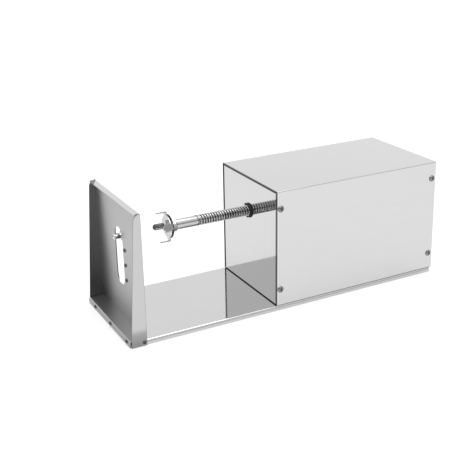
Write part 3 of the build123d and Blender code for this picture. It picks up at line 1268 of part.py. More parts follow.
# ---- Every part by name --------------------------------------------------------------------
PARTS = {
    "base_tray": base_tray,
    "rubber_feet": rubber_feet,
    "cutter_plate": cutter_plate,
    "cutter_plate_screws": cutter_plate_screws,
    "blade_carrier": blade_carrier,
    "carrier_screws": carrier_screws,
    "slicing_blade": slicing_blade,
    "blade_screws": blade_screws,
    "skewer_guide": skewer_guide,
    "front_wall": front_wall,
    "rear_wall": rear_wall,
    "cover_shell": cover_shell,
    "cover_screws_front": lambda: cover_screws(-1),
    "cover_screws_back": lambda: cover_screws(1),
    "end_wall_screws": end_wall_screws,
    "corner_brackets": corner_brackets,
    "wall_foot_screws": wall_foot_screws,
    "wiper_ring": wiper_ring,
    "front_block": front_block,
    "rear_block": rear_block,
    "block_screws": block_screws,
    "guide_rods": guide_rods,
    "rod_grub_screws": rod_grub_screws,
    "feed_nut": feed_nut,
    "feed_nut_screws": feed_nut_screws,
    "switch_bar": switch_bar,
    "switch_bar_screws": switch_bar_screws,
    "limit_switches": limit_switches,
    "limit_switch_screws": limit_switch_screws,
    "front_limit_lever": lambda: limit_lever(0),
    "rear_limit_lever": lambda: limit_lever(1),
    "control_board": control_board,
    "board_standoffs": board_standoffs,
    "board_screws": board_screws,
    "board_nuts": board_nuts,
    "board_relays": board_relays,
    "terminal_block": terminal_block,
    "rocker_bezel": rocker_bezel,
    "rocker_button": rocker_button,
    "power_jack": power_jack,
    "power_jack_nut": power_jack_nut,
    "carriage_plate": carriage_plate,
    "trip_finger": trip_finger,
    "trip_finger_screw": trip_finger_screw,
    "linear_bushes": linear_bushes,
    "bush_screws": bush_screws,
    "tail_bearing": tail_bearing,
    "bearing_cap": bearing_cap,
    "bearing_cap_screws": bearing_cap_screws,
    "motor_pillars": motor_pillars,
    "gearbox": gearbox,
    "gear_motor": gear_motor,
    "feed_screw": feed_screw,
    "holder_hub": holder_hub,
    "holder_disc": holder_disc,
    "prong_plate": prong_plate,
    "jam_nut": jam_nut,
    "shaft_coupling": shaft_coupling,
    "coupling_screws": coupling_screws,
    "motor_shaft": motor_shaft,
}

os.makedirs("parts", exist_ok=True)
for name, make in PARTS.items():
    export_step(make(), f"parts/{name}.step")
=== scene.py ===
import json
import random
from math import ceil, cos, pi, radians, sin, tau

import bmesh
import bpy
import numpy as np
from mathutils import Matrix, Vector


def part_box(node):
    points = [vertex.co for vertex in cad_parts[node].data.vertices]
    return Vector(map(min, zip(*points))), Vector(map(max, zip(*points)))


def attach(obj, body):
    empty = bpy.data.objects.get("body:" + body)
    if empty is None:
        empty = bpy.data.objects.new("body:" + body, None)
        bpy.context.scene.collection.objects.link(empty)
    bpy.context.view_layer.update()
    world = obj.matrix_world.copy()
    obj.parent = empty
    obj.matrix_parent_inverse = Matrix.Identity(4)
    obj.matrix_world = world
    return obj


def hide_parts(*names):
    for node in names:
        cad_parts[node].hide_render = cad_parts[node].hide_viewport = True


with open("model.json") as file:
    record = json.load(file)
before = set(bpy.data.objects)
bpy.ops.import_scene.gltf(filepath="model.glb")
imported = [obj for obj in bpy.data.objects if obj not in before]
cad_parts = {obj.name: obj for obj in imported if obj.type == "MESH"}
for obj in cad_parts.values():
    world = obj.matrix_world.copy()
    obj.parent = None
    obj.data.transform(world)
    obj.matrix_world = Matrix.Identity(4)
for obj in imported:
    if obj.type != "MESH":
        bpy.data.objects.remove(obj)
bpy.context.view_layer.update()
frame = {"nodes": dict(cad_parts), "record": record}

NODES = frame["nodes"]
RNG = random.Random(7)

# ---- Places in the frame, in metres ---------------------------------------------------------
WALL_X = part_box("front_wall")[0].x - 0.0003
BED_Z = 0.008
AXIS_Z = 0.1285
LEAN = Vector((0.99976237, 0, 0.02179949))  # outward direction of the leaning rear wall
PITCH = 0.004
THREAD = (WALL_X - 0.0835, WALL_X + 0.079)
SCREW_R = 0.008
SHANK_R = 0.0074
PLATE_X = WALL_X - 0.1995  # box side of the cutter plate
PLATE_TOP = 0.186
RIM_END = 0.0795  # half width of the plate's top rim
CORE_DEPTH = 0.00165  # thread's depth, without its rounded root
SLIP = 0.00006  # gap between the rod and what it turns in
SPIGOT_R = 0.005
SOCKET = (0.0026, 0.022, 0.0235)  # radius, depth and drill point of the rod's blind hole
JOURNAL_R = 0.006
DISC_BORE, DISC_R = 0.00502, 0.0170
RING_NECK_R = 0.0089
LUG_PLACE = 0.0106  # wiper ring's lugs, from the feed axis

# Near black painted as shade in seams and recesses.
PAINTED_SHADE = (0.03, 0.03, 0.03, 1)
# Near white painted as highlights along folds.
PAINTED_HIGHLIGHT = (0.95, 0.95, 0.95, 1)
WHITE = (1, 1, 1, 1)


# ---- Shader helpers -------------------------------------------------------------------------
def add(tree, kind, inputs=None, **settings):
    """New shader node with its settings, constants and links."""
    made = tree.nodes.new(kind)
    for key, value in settings.items():
        setattr(made, key, value)
    for key, value in (inputs or {}).items():
        if isinstance(value, bpy.types.NodeSocket):
            tree.links.new(value, made.inputs[key])
        else:
            made.inputs[key].default_value = value
    return made


def maths(tree, operation, a, b=0.0, clamp=False):
    return add(tree, "ShaderNodeMath", {0: a, 1: b}, operation=operation, use_clamp=clamp).outputs[0]


def remap(tree, value, low, high, to_low=0.0, to_high=1.0):
    inputs = {"Value": value, "From Min": low, "From Max": high, "To Min": to_low, "To Max": to_high}
    return add(tree, "ShaderNodeMapRange", inputs).outputs["Result"]


def blend_colour(tree, share, first, second, mode="MIX"):
    made = add(tree, "ShaderNodeMix", data_type="RGBA", blend_type=mode)
    for key, value in (("Factor_Float", share), ("A_Color", first), ("B_Color", second)):
        socket = next(s for s in made.inputs if s.identifier == key)
        if isinstance(value, bpy.types.NodeSocket):
            tree.links.new(value, socket)
        else:
            socket.default_value = value
    return next(s for s in made.outputs if s.identifier == "Result_Color")


def new_group(name, inputs, outputs):
    """Empty shader group with float sockets, and its two ends."""
    tree = bpy.data.node_groups.new(name, "ShaderNodeTree")
    for key, value in inputs.items():
        tree.interface.new_socket(key, in_out="INPUT", socket_type="NodeSocketFloat").default_value = value
    for key in outputs:
        tree.interface.new_socket(key, in_out="OUTPUT", socket_type="NodeSocketFloat")
    return tree, add(tree, "NodeGroupInput").outputs, add(tree, "NodeGroupOutput").inputs


def stretched(tree, scale, turn=(0, 0, 0)):
    """Object coordinates, turned and scaled."""
    place = add(tree, "ShaderNodeTexCoord").outputs["Object"]
    inputs = {"Vector": place, "Rotation": turn, "Scale": scale}
    return add(tree, "ShaderNodeMapping", inputs).outputs["Vector"]


def noise(tree, vector, scale, detail=2.0, rough=0.5, warp=0.0):
    inputs = {"Vector": vector, "Scale": scale, "Detail": detail, "Roughness": rough, "Distortion": warp}
    return add(tree, "ShaderNodeTexNoise", inputs).outputs["Fac"]


def make_handling():
    """Smears, hairline scratches and specks that handling leaves, in the amount given."""
    tree, given, put = new_group("handling marks", {"Amount": 1.0}, ("Smears", "Scratches", "Specks"))

    def put_out(name, mask):
        tree.links.new(maths(tree, "MULTIPLY", mask, given["Amount"]), put[name])

    plain = stretched(tree, (1, 1, 1))
    wide = remap(tree, noise(tree, plain, 21, 3, 0.55, 0.7), 0.46, 0.72)
    fine = remap(tree, noise(tree, plain, 160, 4, 0.6, 1.2), 0.4, 0.7)
    put_out("Smears", maths(tree, "MULTIPLY", wide, fine))
    hairs = []
    for turn in ((0.2, 0.1, 0.35), (0.6, 0.9, -0.5), (-0.4, 0.3, 1.2)):
        along = stretched(tree, (9, 900, 900), turn)
        hairs.append(remap(tree, noise(tree, along, 1.0, 1, 0.4), 0.705, 0.735))
    crossed = maths(tree, "MAXIMUM", maths(tree, "MAXIMUM", hairs[0], hairs[1]), hairs[2])
    patch = remap(tree, noise(tree, plain, 34, 1), 0.42, 0.6)
    put_out("Scratches", maths(tree, "MULTIPLY", crossed, patch))
    put_out("Specks", remap(tree, noise(tree, plain, 1500, 1), 0.7, 0.78))
    return tree


def make_grain():
    """Fine lines as rolling or turning leaves. Lines run along the axis with the least scale."""
    scales = {"Scale X": 14.0, "Scale Y": 1500.0, "Scale Z": 1500.0}
    tree, given, put = new_group("steel grain", scales, ("Grain", "Bands"))
    scale = add(tree, "ShaderNodeCombineXYZ", {axis: given["Scale " + axis] for axis in "XYZ"}).outputs[0]
    tree.links.new(noise(tree, stretched(tree, scale), 1.0, 3, 0.7), put["Grain"])
    wide = add(tree, "ShaderNodeVectorMath", {0: scale}, operation="SCALE")
    wide.inputs["Scale"].default_value = 0.08
    tree.links.new(noise(tree, stretched(tree, wide.outputs[0]), 1.0, 2, 0.5), put["Bands"])
    return tree


def make_fingers():
    """Ridged oval marks that fingertips leave, in scattered places, in the amount given."""
    tree, given, put = new_group("finger marks", {"Amount": 1.0}, ("Marks",))
    plain = stretched(tree, (1, 1, 0.7))
    cells = add(tree, "ShaderNodeTexVoronoi", {"Vector": plain, "Scale": 26.0, "Randomness": 1.0})
    away = cells.outputs["Distance"]
    oval = remap(tree, away, 0.2, 0.13)
    warp = maths(tree, "MULTIPLY", noise(tree, plain, 55, 2), 9.0)
    rings = maths(tree, "SINE", maths(tree, "ADD", maths(tree, "MULTIPLY", away, 420.0), warp))
    lot = add(tree, "ShaderNodeSeparateColor", {"Color": cells.outputs["Color"]}).outputs[0]
    chosen = remap(tree, lot, 0.62, 0.7)
    ridges = maths(tree, "MULTIPLY", oval, remap(tree, rings, -0.4, 0.8, 0.35, 1.0))
    marks = maths(tree, "MULTIPLY", ridges, chosen)
    tree.links.new(maths(tree, "MULTIPLY", marks, given["Amount"]), put["Marks"])
    return tree


def make_mould():
    """Fine even texture of a moulded part, and slow colour drift."""
    scales = {"Skin Scale": 2600.0, "Drift Scale": 60.0}
    tree, given, put = new_group("moulded skin", scales, ("Skin", "Drift"))
    plain = stretched(tree, (1, 1, 1))
    tree.links.new(noise(tree, plain, given["Skin Scale"], 2, 0.6), put["Skin"])
    tree.links.new(noise(tree, plain, given["Drift Scale"], 3, 0.5), put["Drift"])
    return tree


HANDLING = make_handling()
FINGERS = make_fingers()
MOULD = make_mould()
GRAIN = make_grain()
GRAIN_SCALES = {"x": (14, 1500, 1500), "y": (1500, 14, 1500), "z": (1500, 1500, 14), "turned": (2600, 60, 60)}


def use(tree, group, **values):
    """Outputs of a group placed in a material with its own values."""
    inputs = {key.replace("_", " "): value for key, value in values.items()}
    return add(tree, "ShaderNodeGroup", inputs, node_tree=group).outputs


def start_material(name, constants):
    made = bpy.data.materials.new(name)
    made.use_nodes = True
    tree = made.node_tree
    tree.nodes.clear()
    shader = add(tree, "ShaderNodeBsdfPrincipled", constants)
    out = add(tree, "ShaderNodeOutputMaterial")
    tree.links.new(shader.outputs["BSDF"], out.inputs["Surface"])
    return made, tree, shader


def sheet_steel(name, colour, rough, grain="x", marks=1.0, bump=0.02, shade=None):
    """Sheet or turned steel with grain, smears, hairlines and finger marks."""
    made, tree, shader = start_material(name, {"Metallic": 1.0})
    wear = use(tree, HANDLING, Amount=marks)
    touch = use(tree, FINGERS, Amount=marks)["Marks"]
    along_x, along_y, along_z = GRAIN_SCALES[grain]
    lines = use(tree, GRAIN, Scale_X=along_x, Scale_Y=along_y, Scale_Z=along_z)
    dull = tuple(c * 0.992 for c in colour)
    mixed = blend_colour(tree, remap(tree, lines["Bands"], 0.35, 0.65), (*colour, 1), (*dull, 1))
    tones = (("Smears", 0.12, (0.70, 0.70, 0.69, 1)), ("Specks", 0.10, (0.25, 0.24, 0.23, 1)))
    for mark, share, tone in tones:
        mixed = blend_colour(tree, maths(tree, "MULTIPLY", wear[mark], share), mixed, tone)
    if shade is not None:
        mixed = shade(tree, mixed)
    tree.links.new(mixed, shader.inputs["Base Color"])
    value = maths(tree, "ADD", maths(tree, "MULTIPLY", remap(tree, lines["Grain"], 0.3, 0.7), 0.02), rough)
    for mark, share in ((wear["Smears"], 0.05), (touch, 0.06), (wear["Scratches"], 0.12)):
        value = maths(tree, "ADD", value, maths(tree, "MULTIPLY", mark, share))
    tree.links.new(value, shader.inputs["Roughness"])
    cut = maths(tree, "MULTIPLY", wear["Scratches"], 1 / marks)
    height = maths(tree, "SUBTRACT", maths(tree, "MULTIPLY", lines["Grain"], 0.5), cut)
    raised = add(tree, "ShaderNodeBump", {"Strength": bump, "Distance": 0.0001, "Height": height})
    tree.links.new(raised.outputs["Normal"], shader.inputs["Normal"])
    return made


def plastic(name, colour, rough, bump=0.12, coat=0.0, level=0.3):
    """Moulded plastic or rubber with a fine skin and a little dust."""
    constants = {"Metallic": 0.0, "Coat Weight": coat, "Coat Roughness": 0.1, "Specular IOR Level": level}
    made, tree, shader = start_material(name, constants)
    skin = use(tree, MOULD, Skin_Scale=2600.0, Drift_Scale=60.0)
    wear = use(tree, HANDLING, Amount=1.0)
    lighter = tuple(min(1.0, c * 1.35 + 0.012) for c in colour)
    mixed = blend_colour(tree, remap(tree, skin["Drift"], 0.35, 0.7), (*colour, 1), (*lighter, 1))
    mixed = blend_colour(tree, maths(tree, "MULTIPLY", wear["Specks"], 0.35), mixed, (0.42, 0.41, 0.39, 1))
    tree.links.new(mixed, shader.inputs["Base Color"])
    value = maths(tree, "ADD", remap(tree, skin["Skin"], 0.3, 0.7, rough - 0.06, rough + 0.06),
                  maths(tree, "MULTIPLY", wear["Smears"], 0.15))
    tree.links.new(value, shader.inputs["Roughness"])
    raised = add(tree, "ShaderNodeBump", {"Strength": bump, "Distance": 0.0001, "Height": skin["Skin"]})
    tree.links.new(raised.outputs["Normal"], shader.inputs["Normal"])
    return made


def object_axis(tree, axis):
    place = add(tree, "ShaderNodeTexCoord").outputs["Object"]
    return add(tree, "ShaderNodeSeparateXYZ", {"Vector": place}).outputs[axis]


def recess_painted_shade(tree, colour):
    """Painted shade in a screw's cross recess and round its rim, where the mesh marks it."""
    held = add(tree, "ShaderNodeAttribute", attribute_name="painted_shade_mark").outputs["Fac"]
    return blend_colour(tree, maths(tree, "MULTIPLY", held, 0.9), colour, PAINTED_SHADE)


def thread_root_painted_shade(tree, colour):
    """Painted shade in the roots of the thread, patchy, worked out from the distance to the axis."""
    y = object_axis(tree, "Y")
    z = maths(tree, "SUBTRACT", object_axis(tree, "Z"), AXIS_Z)
    squares = maths(tree, "ADD", maths(tree, "MULTIPLY", y, y), maths(tree, "MULTIPLY", z, z))
    radius = maths(tree, "SQRT", squares)
    deep = remap(tree, radius, SCREW_R - 0.0004, SCREW_R - 0.0013)
    patchy = remap(tree, noise(tree, stretched(tree, (1, 1, 1)), 90, 2), 0.25, 0.6, 0.7, 1.0)
    # Roots painted near black as shade.
    return blend_colour(tree, maths(tree, "MULTIPLY", deep, patchy), colour, (0.045, 0.043, 0.04, 1))


def near(tree, value, place, reach, soft=0.5):
    """1 where the value is within reach of a place, fading over a share of the reach."""
    away = maths(tree, "ABSOLUTE", maths(tree, "SUBTRACT", value, place))
    return remap(tree, away, reach, reach * (1 - soft))


def above(tree, value, place, soft=0.0004):
    return remap(tree, value, place - soft, place + soft)


def wall_seam_painted_shade(tree, colour):
    """Painted shade in the seams round the box's end walls."""
    y = maths(tree, "ABSOLUTE", object_axis(tree, "Y"))
    z = object_axis(tree, "Z")
    sides = above(tree, y, 0.0757)
    top = above(tree, z, 0.1756)
    foot = remap(tree, z, BED_Z + 0.0024, BED_Z + 0.0012)
    # Sides, top and foot of the wall painted dark as shade.
    edge = maths(tree, "MAXIMUM", maths(tree, "MAXIMUM", sides, top), foot)
    return blend_colour(tree, maths(tree, "MULTIPLY", edge, 0.94), colour, PAINTED_SHADE)


def cover_painted_highlight_and_shade(tree, colour):
    """Painted highlights along the cover sheet's top folds and just in from its cut end, painted shade on the
    cut end and along its foot.
    """
    x = object_axis(tree, "X")
    y = maths(tree, "ABSOLUTE", object_axis(tree, "Y"))
    z = object_axis(tree, "Z")
    # Painted highlight along the top folds.
    fold = maths(tree, "MULTIPLY", above(tree, y, 0.0784), above(tree, z, 0.1779))
    made = blend_colour(tree, maths(tree, "MULTIPLY", fold, 0.12), colour, PAINTED_HIGHLIGHT)
    # Painted shade along the cover's lower edge.
    foot = remap(tree, z, BED_Z + 0.0012, BED_Z + 0.0007)
    made = blend_colour(tree, maths(tree, "MULTIPLY", foot, 0.8), made, (0.06, 0.06, 0.06, 1))
    # Painted highlight just in from the cut end.
    edge = remap(tree, x, WALL_X + 0.0022, WALL_X + 0.0014)
    made = blend_colour(tree, maths(tree, "MULTIPLY", edge, 0.3), made, (0.93, 0.93, 0.93, 1))
    # Painted shade on the cut end.
    cut = remap(tree, x, WALL_X + 0.0011, WALL_X + 0.0006)
    return blend_colour(tree, maths(tree, "MULTIPLY", cut, 0.85), made, (0.07, 0.07, 0.07, 1))


def grey(value):
    """Grey with the slightest touch of blue."""
    return (value, value, value * 1.01, 1)


def plate_painted_shade(tree, colour):
    """Painted shade on the cutter plate's faces between its side walls, darkest in the corners and at the
    foot, and on its outer faces and edges.
    """
    where = add(tree, "ShaderNodeTexCoord").outputs["Object"]
    place = add(tree, "ShaderNodeSeparateXYZ", {"Vector": where}).outputs
    turned = add(tree, "ShaderNodeNewGeometry").outputs["Normal"]
    facing = add(tree, "ShaderNodeSeparateXYZ", {"Vector": turned}).outputs
    front = remap(tree, place["Y"], 0.0, -0.001)
    back = remap(tree, place["Y"], 0.0, 0.001)
    to_front = remap(tree, facing["Y"], -0.5, -0.9)
    to_back = remap(tree, facing["Y"], 0.5, 0.9)
    outlet = remap(tree, facing["X"], -0.4, -0.85)
    inner_back = maths(tree, "MULTIPLY", to_front, back)
    inner = maths(tree, "MAXIMUM", inner_back, maths(tree, "MULTIPLY", to_back, front))
    outer = maths(tree, "MULTIPLY", to_front, front)
    low = maths(tree, "POWER", remap(tree, place["Z"], PLATE_TOP, 0.012), 1.5)
    high = remap(tree, place["Z"], 0.115, PLATE_TOP)
    # Faces towards the outlet painted in greys that change with height, darkest at the foot.
    face = blend_colour(tree, low, grey(0.40), grey(0.27))
    face = blend_colour(tree, high, face, grey(0.33))
    made = blend_colour(tree, maths(tree, "MULTIPLY", outlet, 0.9), colour, face)
    # Inner faces between the side walls painted near black as shade, darkest at the foot.
    made = blend_colour(tree, maths(tree, "MULTIPLY", inner, 0.95), made,
                        blend_colour(tree, low, grey(0.13), grey(0.10)))
    # Outer face of the front side wall painted as shade, darker at its foot.
    foot = remap(tree, place["Z"], 0.027, 0.019)
    skirt = blend_colour(tree, remap(tree, place["Z"], 0.02, 0.006), grey(0.32), grey(0.25))
    made = blend_colour(tree, outer, made, blend_colour(tree, foot, grey(0.50), skirt))
    # Free edges of the side walls painted dark as shade.
    wide = maths(tree, "ABSOLUTE", place["Y"])
    side = maths(tree, "ABSOLUTE", facing["Y"])
    free = maths(tree, "MULTIPLY", above(tree, wide, 0.08005, 0.00005), remap(tree, side, 0.5, 0.3))
    free = maths(tree, "MULTIPLY", free, remap(tree, place["X"], PLATE_X - 0.0018, PLATE_X - 0.0024))
    made = blend_colour(tree, maths(tree, "MULTIPLY", free, 0.9), made, grey(0.16))
    # Painted shade on the top rim at its far end, past a mitre line.
    mitre = remap(tree, place["X"], PLATE_X, PLATE_X - 0.010, RIM_END, RIM_END - 0.018)
    past = above(tree, maths(tree, "SUBTRACT", place["Y"], mitre), 0.0, 0.0006)
    rim = maths(tree, "MULTIPLY", past, above(tree, place["Z"], PLATE_TOP - 0.0012))
    return blend_colour(tree, maths(tree, "MULTIPLY", rim, 0.9), made, grey(0.10))


def hub_underside_painted_shade(tree, colour):
    """Painted shade: the hub darkens towards its underside."""
    low = remap(tree, object_axis(tree, "Z"), AXIS_Z + 0.005, AXIS_Z - 0.004)
    return blend_colour(tree, low, colour, grey(0.14))


def bed_painted_highlight_and_shade(tree, colour):
    """Painted highlight along the bed sheet's fold, painted shade on its skirt, darkest just under the fold,
    and painted shade in the seam under the box.
    """
    x = object_axis(tree, "X")
    y = maths(tree, "ABSOLUTE", object_axis(tree, "Y"))
    z = object_axis(tree, "Z")
    # Painted highlight along the folds.
    fold = maths(tree, "MULTIPLY", near(tree, y, 0.0793, 0.0009), above(tree, z, BED_Z - 0.0009))
    made = blend_colour(tree, maths(tree, "MULTIPLY", fold, 0.9), colour, PAINTED_HIGHLIGHT)
    # Skirt painted darker just under the fold and lighter towards its foot.
    below = remap(tree, z, BED_Z - 0.0012, BED_Z - 0.0018)
    skirt = maths(tree, "MULTIPLY", above(tree, y, 0.0797, 0.0002), below)
    depth = remap(tree, z, BED_Z - 0.0028, BED_Z - 0.0042)
    tone = blend_colour(tree, depth, (0.34, 0.34, 0.34, 1), (0.52, 0.52, 0.52, 1))
    made = blend_colour(tree, maths(tree, "MULTIPLY", skirt, 0.9), made, tone)
    # Painted shade in the seam under the box.
    seam = maths(tree, "MULTIPLY", above(tree, x, WALL_X + 0.0004), above(tree, z, BED_Z - 0.0004, 0.0001))
    return blend_colour(tree, maths(tree, "MULTIPLY", seam, 0.9), made, PAINTED_SHADE)


STEEL = (0.575, 0.575, 0.578)
MATERIALS = {
    "sheet": sheet_steel("polished sheet steel", STEEL, 0.05),
    "upright": sheet_steel("polished plate steel", STEEL, 0.33, "z", shade=plate_painted_shade),
    "wall": sheet_steel("polished wall steel", STEEL, 0.05, "z", shade=wall_seam_painted_shade),
    "cover": sheet_steel("polished cover steel", STEEL, 0.05, shade=cover_painted_highlight_and_shade),
    "bed": sheet_steel("polished bed steel", STEEL, 0.05, shade=bed_painted_highlight_and_shade),
    "screw": sheet_steel("plated screw steel", (0.24, 0.24, 0.245), 0.2, "turned", 0.6, shade=recess_painted_shade),
    "hub": sheet_steel("turned hub steel", (0.40, 0.40, 0.405), 0.24, "turned", 0.6, shade=hub_underside_painted_shade),
    "black screw": sheet_steel("oiled screw steel", (0.09, 0.09, 0.092), 0.26, "turned", 0.6,
                               shade=recess_painted_shade),
    "rod": sheet_steel("turned rod steel", (0.50, 0.50, 0.505), 0.14, "turned", 0.6),
    "thread": sheet_steel("rolled thread steel", (0.60, 0.60, 0.605), 0.14, "turned", 0.5,
                          shade=thread_root_painted_shade),
    "blade": sheet_steel("ground blade steel", (0.56, 0.565, 0.575), 0.09, "y", 0.6),
    "dark": sheet_steel("blackened steel", (0.022, 0.022, 0.024), 0.28, "turned", 0.5, 0.06),
    "aluminium": sheet_steel("machined aluminium", (0.62, 0.625, 0.63), 0.24, "y", 0.7, 0.08),
    "bronze": sheet_steel("turned bronze", (0.62, 0.40, 0.17), 0.22, "turned", 0.7, 0.06),
    "motor": sheet_steel("plated motor can", (0.45, 0.455, 0.46), 0.2, "turned", 0.7, 0.04),
    "rubber": plastic("soft black rubber", (0.016, 0.016, 0.017), 0.62, 0.3, level=0.15),
    "black": plastic("matt black plastic", (0.009, 0.009, 0.010), 0.42, level=0.15),
    "red": plastic("glossy red plastic", (0.50, 0.018, 0.015), 0.22, 0.04, 0.4),
    "blue": plastic("glossy blue plastic", (0.02, 0.09, 0.34), 0.28, 0.05, 0.3),
    "green": plastic("green terminal housing", (0.03, 0.26, 0.09), 0.38),
    "board": plastic("green circuit board", (0.012, 0.12, 0.045), 0.3, 0.1, 0.3),
}
SLOT_LOOK = {
    "polished_steel": "sheet", "screw_steel": "screw", "feed_steel": "rod", "blade_steel": "blade",
    "dark_steel": "dark", "aluminium": "aluminium", "bronze": "bronze", "rubber": "rubber",
    "black_plastic": "black", "red_plastic": "red", "blue_plastic": "blue", "green_plastic": "green",
    "board": "board", "motor_metal": "motor",
}
NODE_LOOK = {"cutter_plate": "upright", "front_wall": "wall", "rear_wall": "wall", "cover_shell": "cover",
             "base_tray": "bed", "holder_hub": "hub", "prong_plate": "rod", "jam_nut": "rod"}

for part in frame["record"]["subparts"]:
    look = NODE_LOOK.get(part["node"]) or SLOT_LOOK[part["material_slot"]]
    mesh = NODES[part["node"]].data
    mesh.materials.clear()
    mesh.materials.append(MATERIALS[look])

BODY_OF = {node: body for body, group in frame["record"]["behaviour"]["bodies"].items() for node in group}


# ---- Mesh helpers ---------------------------------------------------------------------------
def piece(name, mesh, look, node):
    """New piece that stands for a CAD node and rides on its body."""
    made = bpy.data.objects.new(name, mesh)
    bpy.context.scene.collection.objects.link(made)
    mesh.materials.append(MATERIALS[look])
    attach(made, BODY_OF[node])
    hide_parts(node)
    return made


def to_mesh(bm, name, angle=35):
    bmesh.ops.recalc_face_normals(bm, faces=bm.faces)
    mesh = bpy.data.meshes.new(name)
    bm.to_mesh(mesh)
    bm.free()
    mesh.shade_smooth()
    mesh.set_sharp_from_angle(angle=radians(angle))
    return mesh


def basis(axis):
    """Two directions square to an axis."""
    axis = Vector(axis).normalized()
    side = Vector((0, 0, 1)) if abs(axis.z) < 0.9 else Vector((1, 0, 0))
    u = axis.cross(side).normalized()
    return u, axis.cross(u)


def lathe(bm, profile, origin, axis, steps=64):
    """Turned surface from (distance along the axis, radius) points."""
    origin, axis = Vector(origin), Vector(axis).normalized()
    u, v = basis(axis)
    rows = []
    for along, radius in profile:
        if radius < 1e-7:
            rows.append([bm.verts.new(origin + axis * along)])
            continue
        ring = []
        for k in range(steps):
            a = tau * k / steps
            ring.append(bm.verts.new(origin + axis * along + (u * cos(a) + v * sin(a)) * radius))
        rows.append(ring)
    skin(bm, rows)


def skin(bm, rows):
    """Faces between neighbouring rings; a ring may be a single point."""
    for low, high in zip(rows, rows[1:]):
        count = max(len(low), len(high))
        for k in range(count):
            j = (k + 1) % count
            if len(low) == 1 and len(high) == 1:
                continue
            if len(low) == 1:
                bm.faces.new((low[0], high[k], high[j]))
            elif len(high) == 1:
                bm.faces.new((low[k], low[j], high[0]))
            else:
                bm.faces.new((low[k], low[j], high[j], high[k]))


def loose_parts(node):
    """Vertex places of each separate solid in a CAD node."""
    mesh = NODES[node].data
    places = np.array([v.co for v in mesh.vertices], float)
    keys = {}
    same = [keys.setdefault(tuple(np.round(p, 6)), i) for i, p in enumerate(places)]
    parent = list(range(len(places)))

    def root(i):
        while parent[i] != i:
            parent[i] = parent[parent[i]]
            i = parent[i]
        return i

    for edge in mesh.edges:
        a, b = root(same[edge.vertices[0]]), root(same[edge.vertices[1]])
        parent[a] = b
    groups = {}
    for i, first in enumerate(same):
        groups.setdefault(root(first), []).append(i)
    return [places[members] for members in groups.values()]


# ---- Screws with a cross recess -------------------------------------------------------------
def cross_outline(arm, half, steps=40):
    """(angle, radius) points round a cross with arms of that reach and half width."""
    points = []
    for quarter in range(4):
        base = quarter * pi / 2
        for k in range(steps // 4):
            a = -pi / 4 + (pi / 2) * k / (steps // 4)
            reach = min(arm / cos(a), half / abs(sin(a)) if abs(sin(a)) > 1e-9 else 9.0)
            points.append((base + a, reach))
    return points


def cross_head(bm, seat, axis, head, height, shank, length, roll, flat=False):
    """One screw: shank, domed or flush head, and its cross recess."""
    seat, axis = Vector(seat), Vector(axis).normalized()
    u, v = basis(axis)
    # Vertex layer that marks where shade is painted: the recess and round the head.
    painted_shade_mark = bm.verts.layers.float.get("painted_shade_mark") or bm.verts.layers.float.new("painted_shade_mark")
    outline = cross_outline(0.52 * head, 0.115 * head)

    def ring(radius_of, along_of):
        made = []
        for a, reach in outline:
            r = radius_of(reach)
            d = u * cos(a + roll) + v * sin(a + roll)
            made.append(bm.verts.new(seat + d * r + axis * along_of(r)))
        return made

    def dome(r):
        if flat:
            return 0.0
        share = min(1.0, r / head)
        return height * (1 - share**2.6) * 0.72 + height * 0.28

    depth = 0.55 * height if not flat else 0.0009
    rows = [[bm.verts.new(seat + axis * (dome(0) - depth * 1.15))]]
    rows.append(ring(lambda q: q * 0.62, lambda r: dome(0) - depth))
    rows.append(ring(lambda q: q * 0.97, lambda r: dome(r) - 0.04 * height))
    rows.append(ring(lambda q: q * 1.04, dome))
    for share in (0.35, 0.7, 0.9):
        rows.append(ring(lambda q: q * 1.04 * (1 - share) + head * 0.97 * share, dome))
    rows.append(ring(lambda q: head * 0.985, dome))
    if flat:
        rows.append(ring(lambda q: head, lambda r: -0.00005))
        rows.append(ring(lambda q: shank, lambda r: shank - head))
    else:
        rows.append(ring(lambda q: head, lambda r: height * 0.2))
        rows.append(ring(lambda q: head, lambda r: 0.00002))
        rows.append(ring(lambda q: shank, lambda r: 0.00002))
    rows.append(ring(lambda q: shank, lambda r: -length))
    rows.append([bm.verts.new(seat - axis * length)])
    rim = -4 if not flat else -3
    # Painted shade marked in the mesh: full in the recess, less at its edge, and where the head meets its
    # seat.
    for row, amount in ((0, 1.0), (1, 1.0), (2, 0.75), (rim, 0.5), (rim + 1, 1.0)):
        for vert in rows[row]:
            vert[painted_shade_mark] = amount
    skin(bm, rows)


X, Y, Z = Vector((1, 0, 0)), Vector((0, 1, 0)), Vector((0, 0, 1))
# Radius of the shank, radius of the head and its height
SCREW_SIZES = ((0.0015, 0.00275, 0.002), (0.002, 0.004, 0.0028), (0.0025, 0.0046, 0.003))


def screw_axis(places):
    """Head's radius, direction from shank to head, and the middle of the screw."""
    best = None
    for axis in (X, Y, Z, LEAN):
        u, v = basis(axis)
        across = np.stack([places @ np.array(u), places @ np.array(v)], 1)
        middle = (across.max(0) + across.min(0)) / 2
        radius = np.hypot(*(across - middle).T)
        spread = radius.max()
        if best is None or spread < best[0] - 1e-6:
            along = places @ np.array(axis)
            wide = along[radius > 0.9 * spread].mean()
            sign = 1 if wide > (along.max() + along.min()) / 2 else -1
            centre = u * middle[0] + v * middle[1]
            best = (spread, axis * sign, centre)
    return best


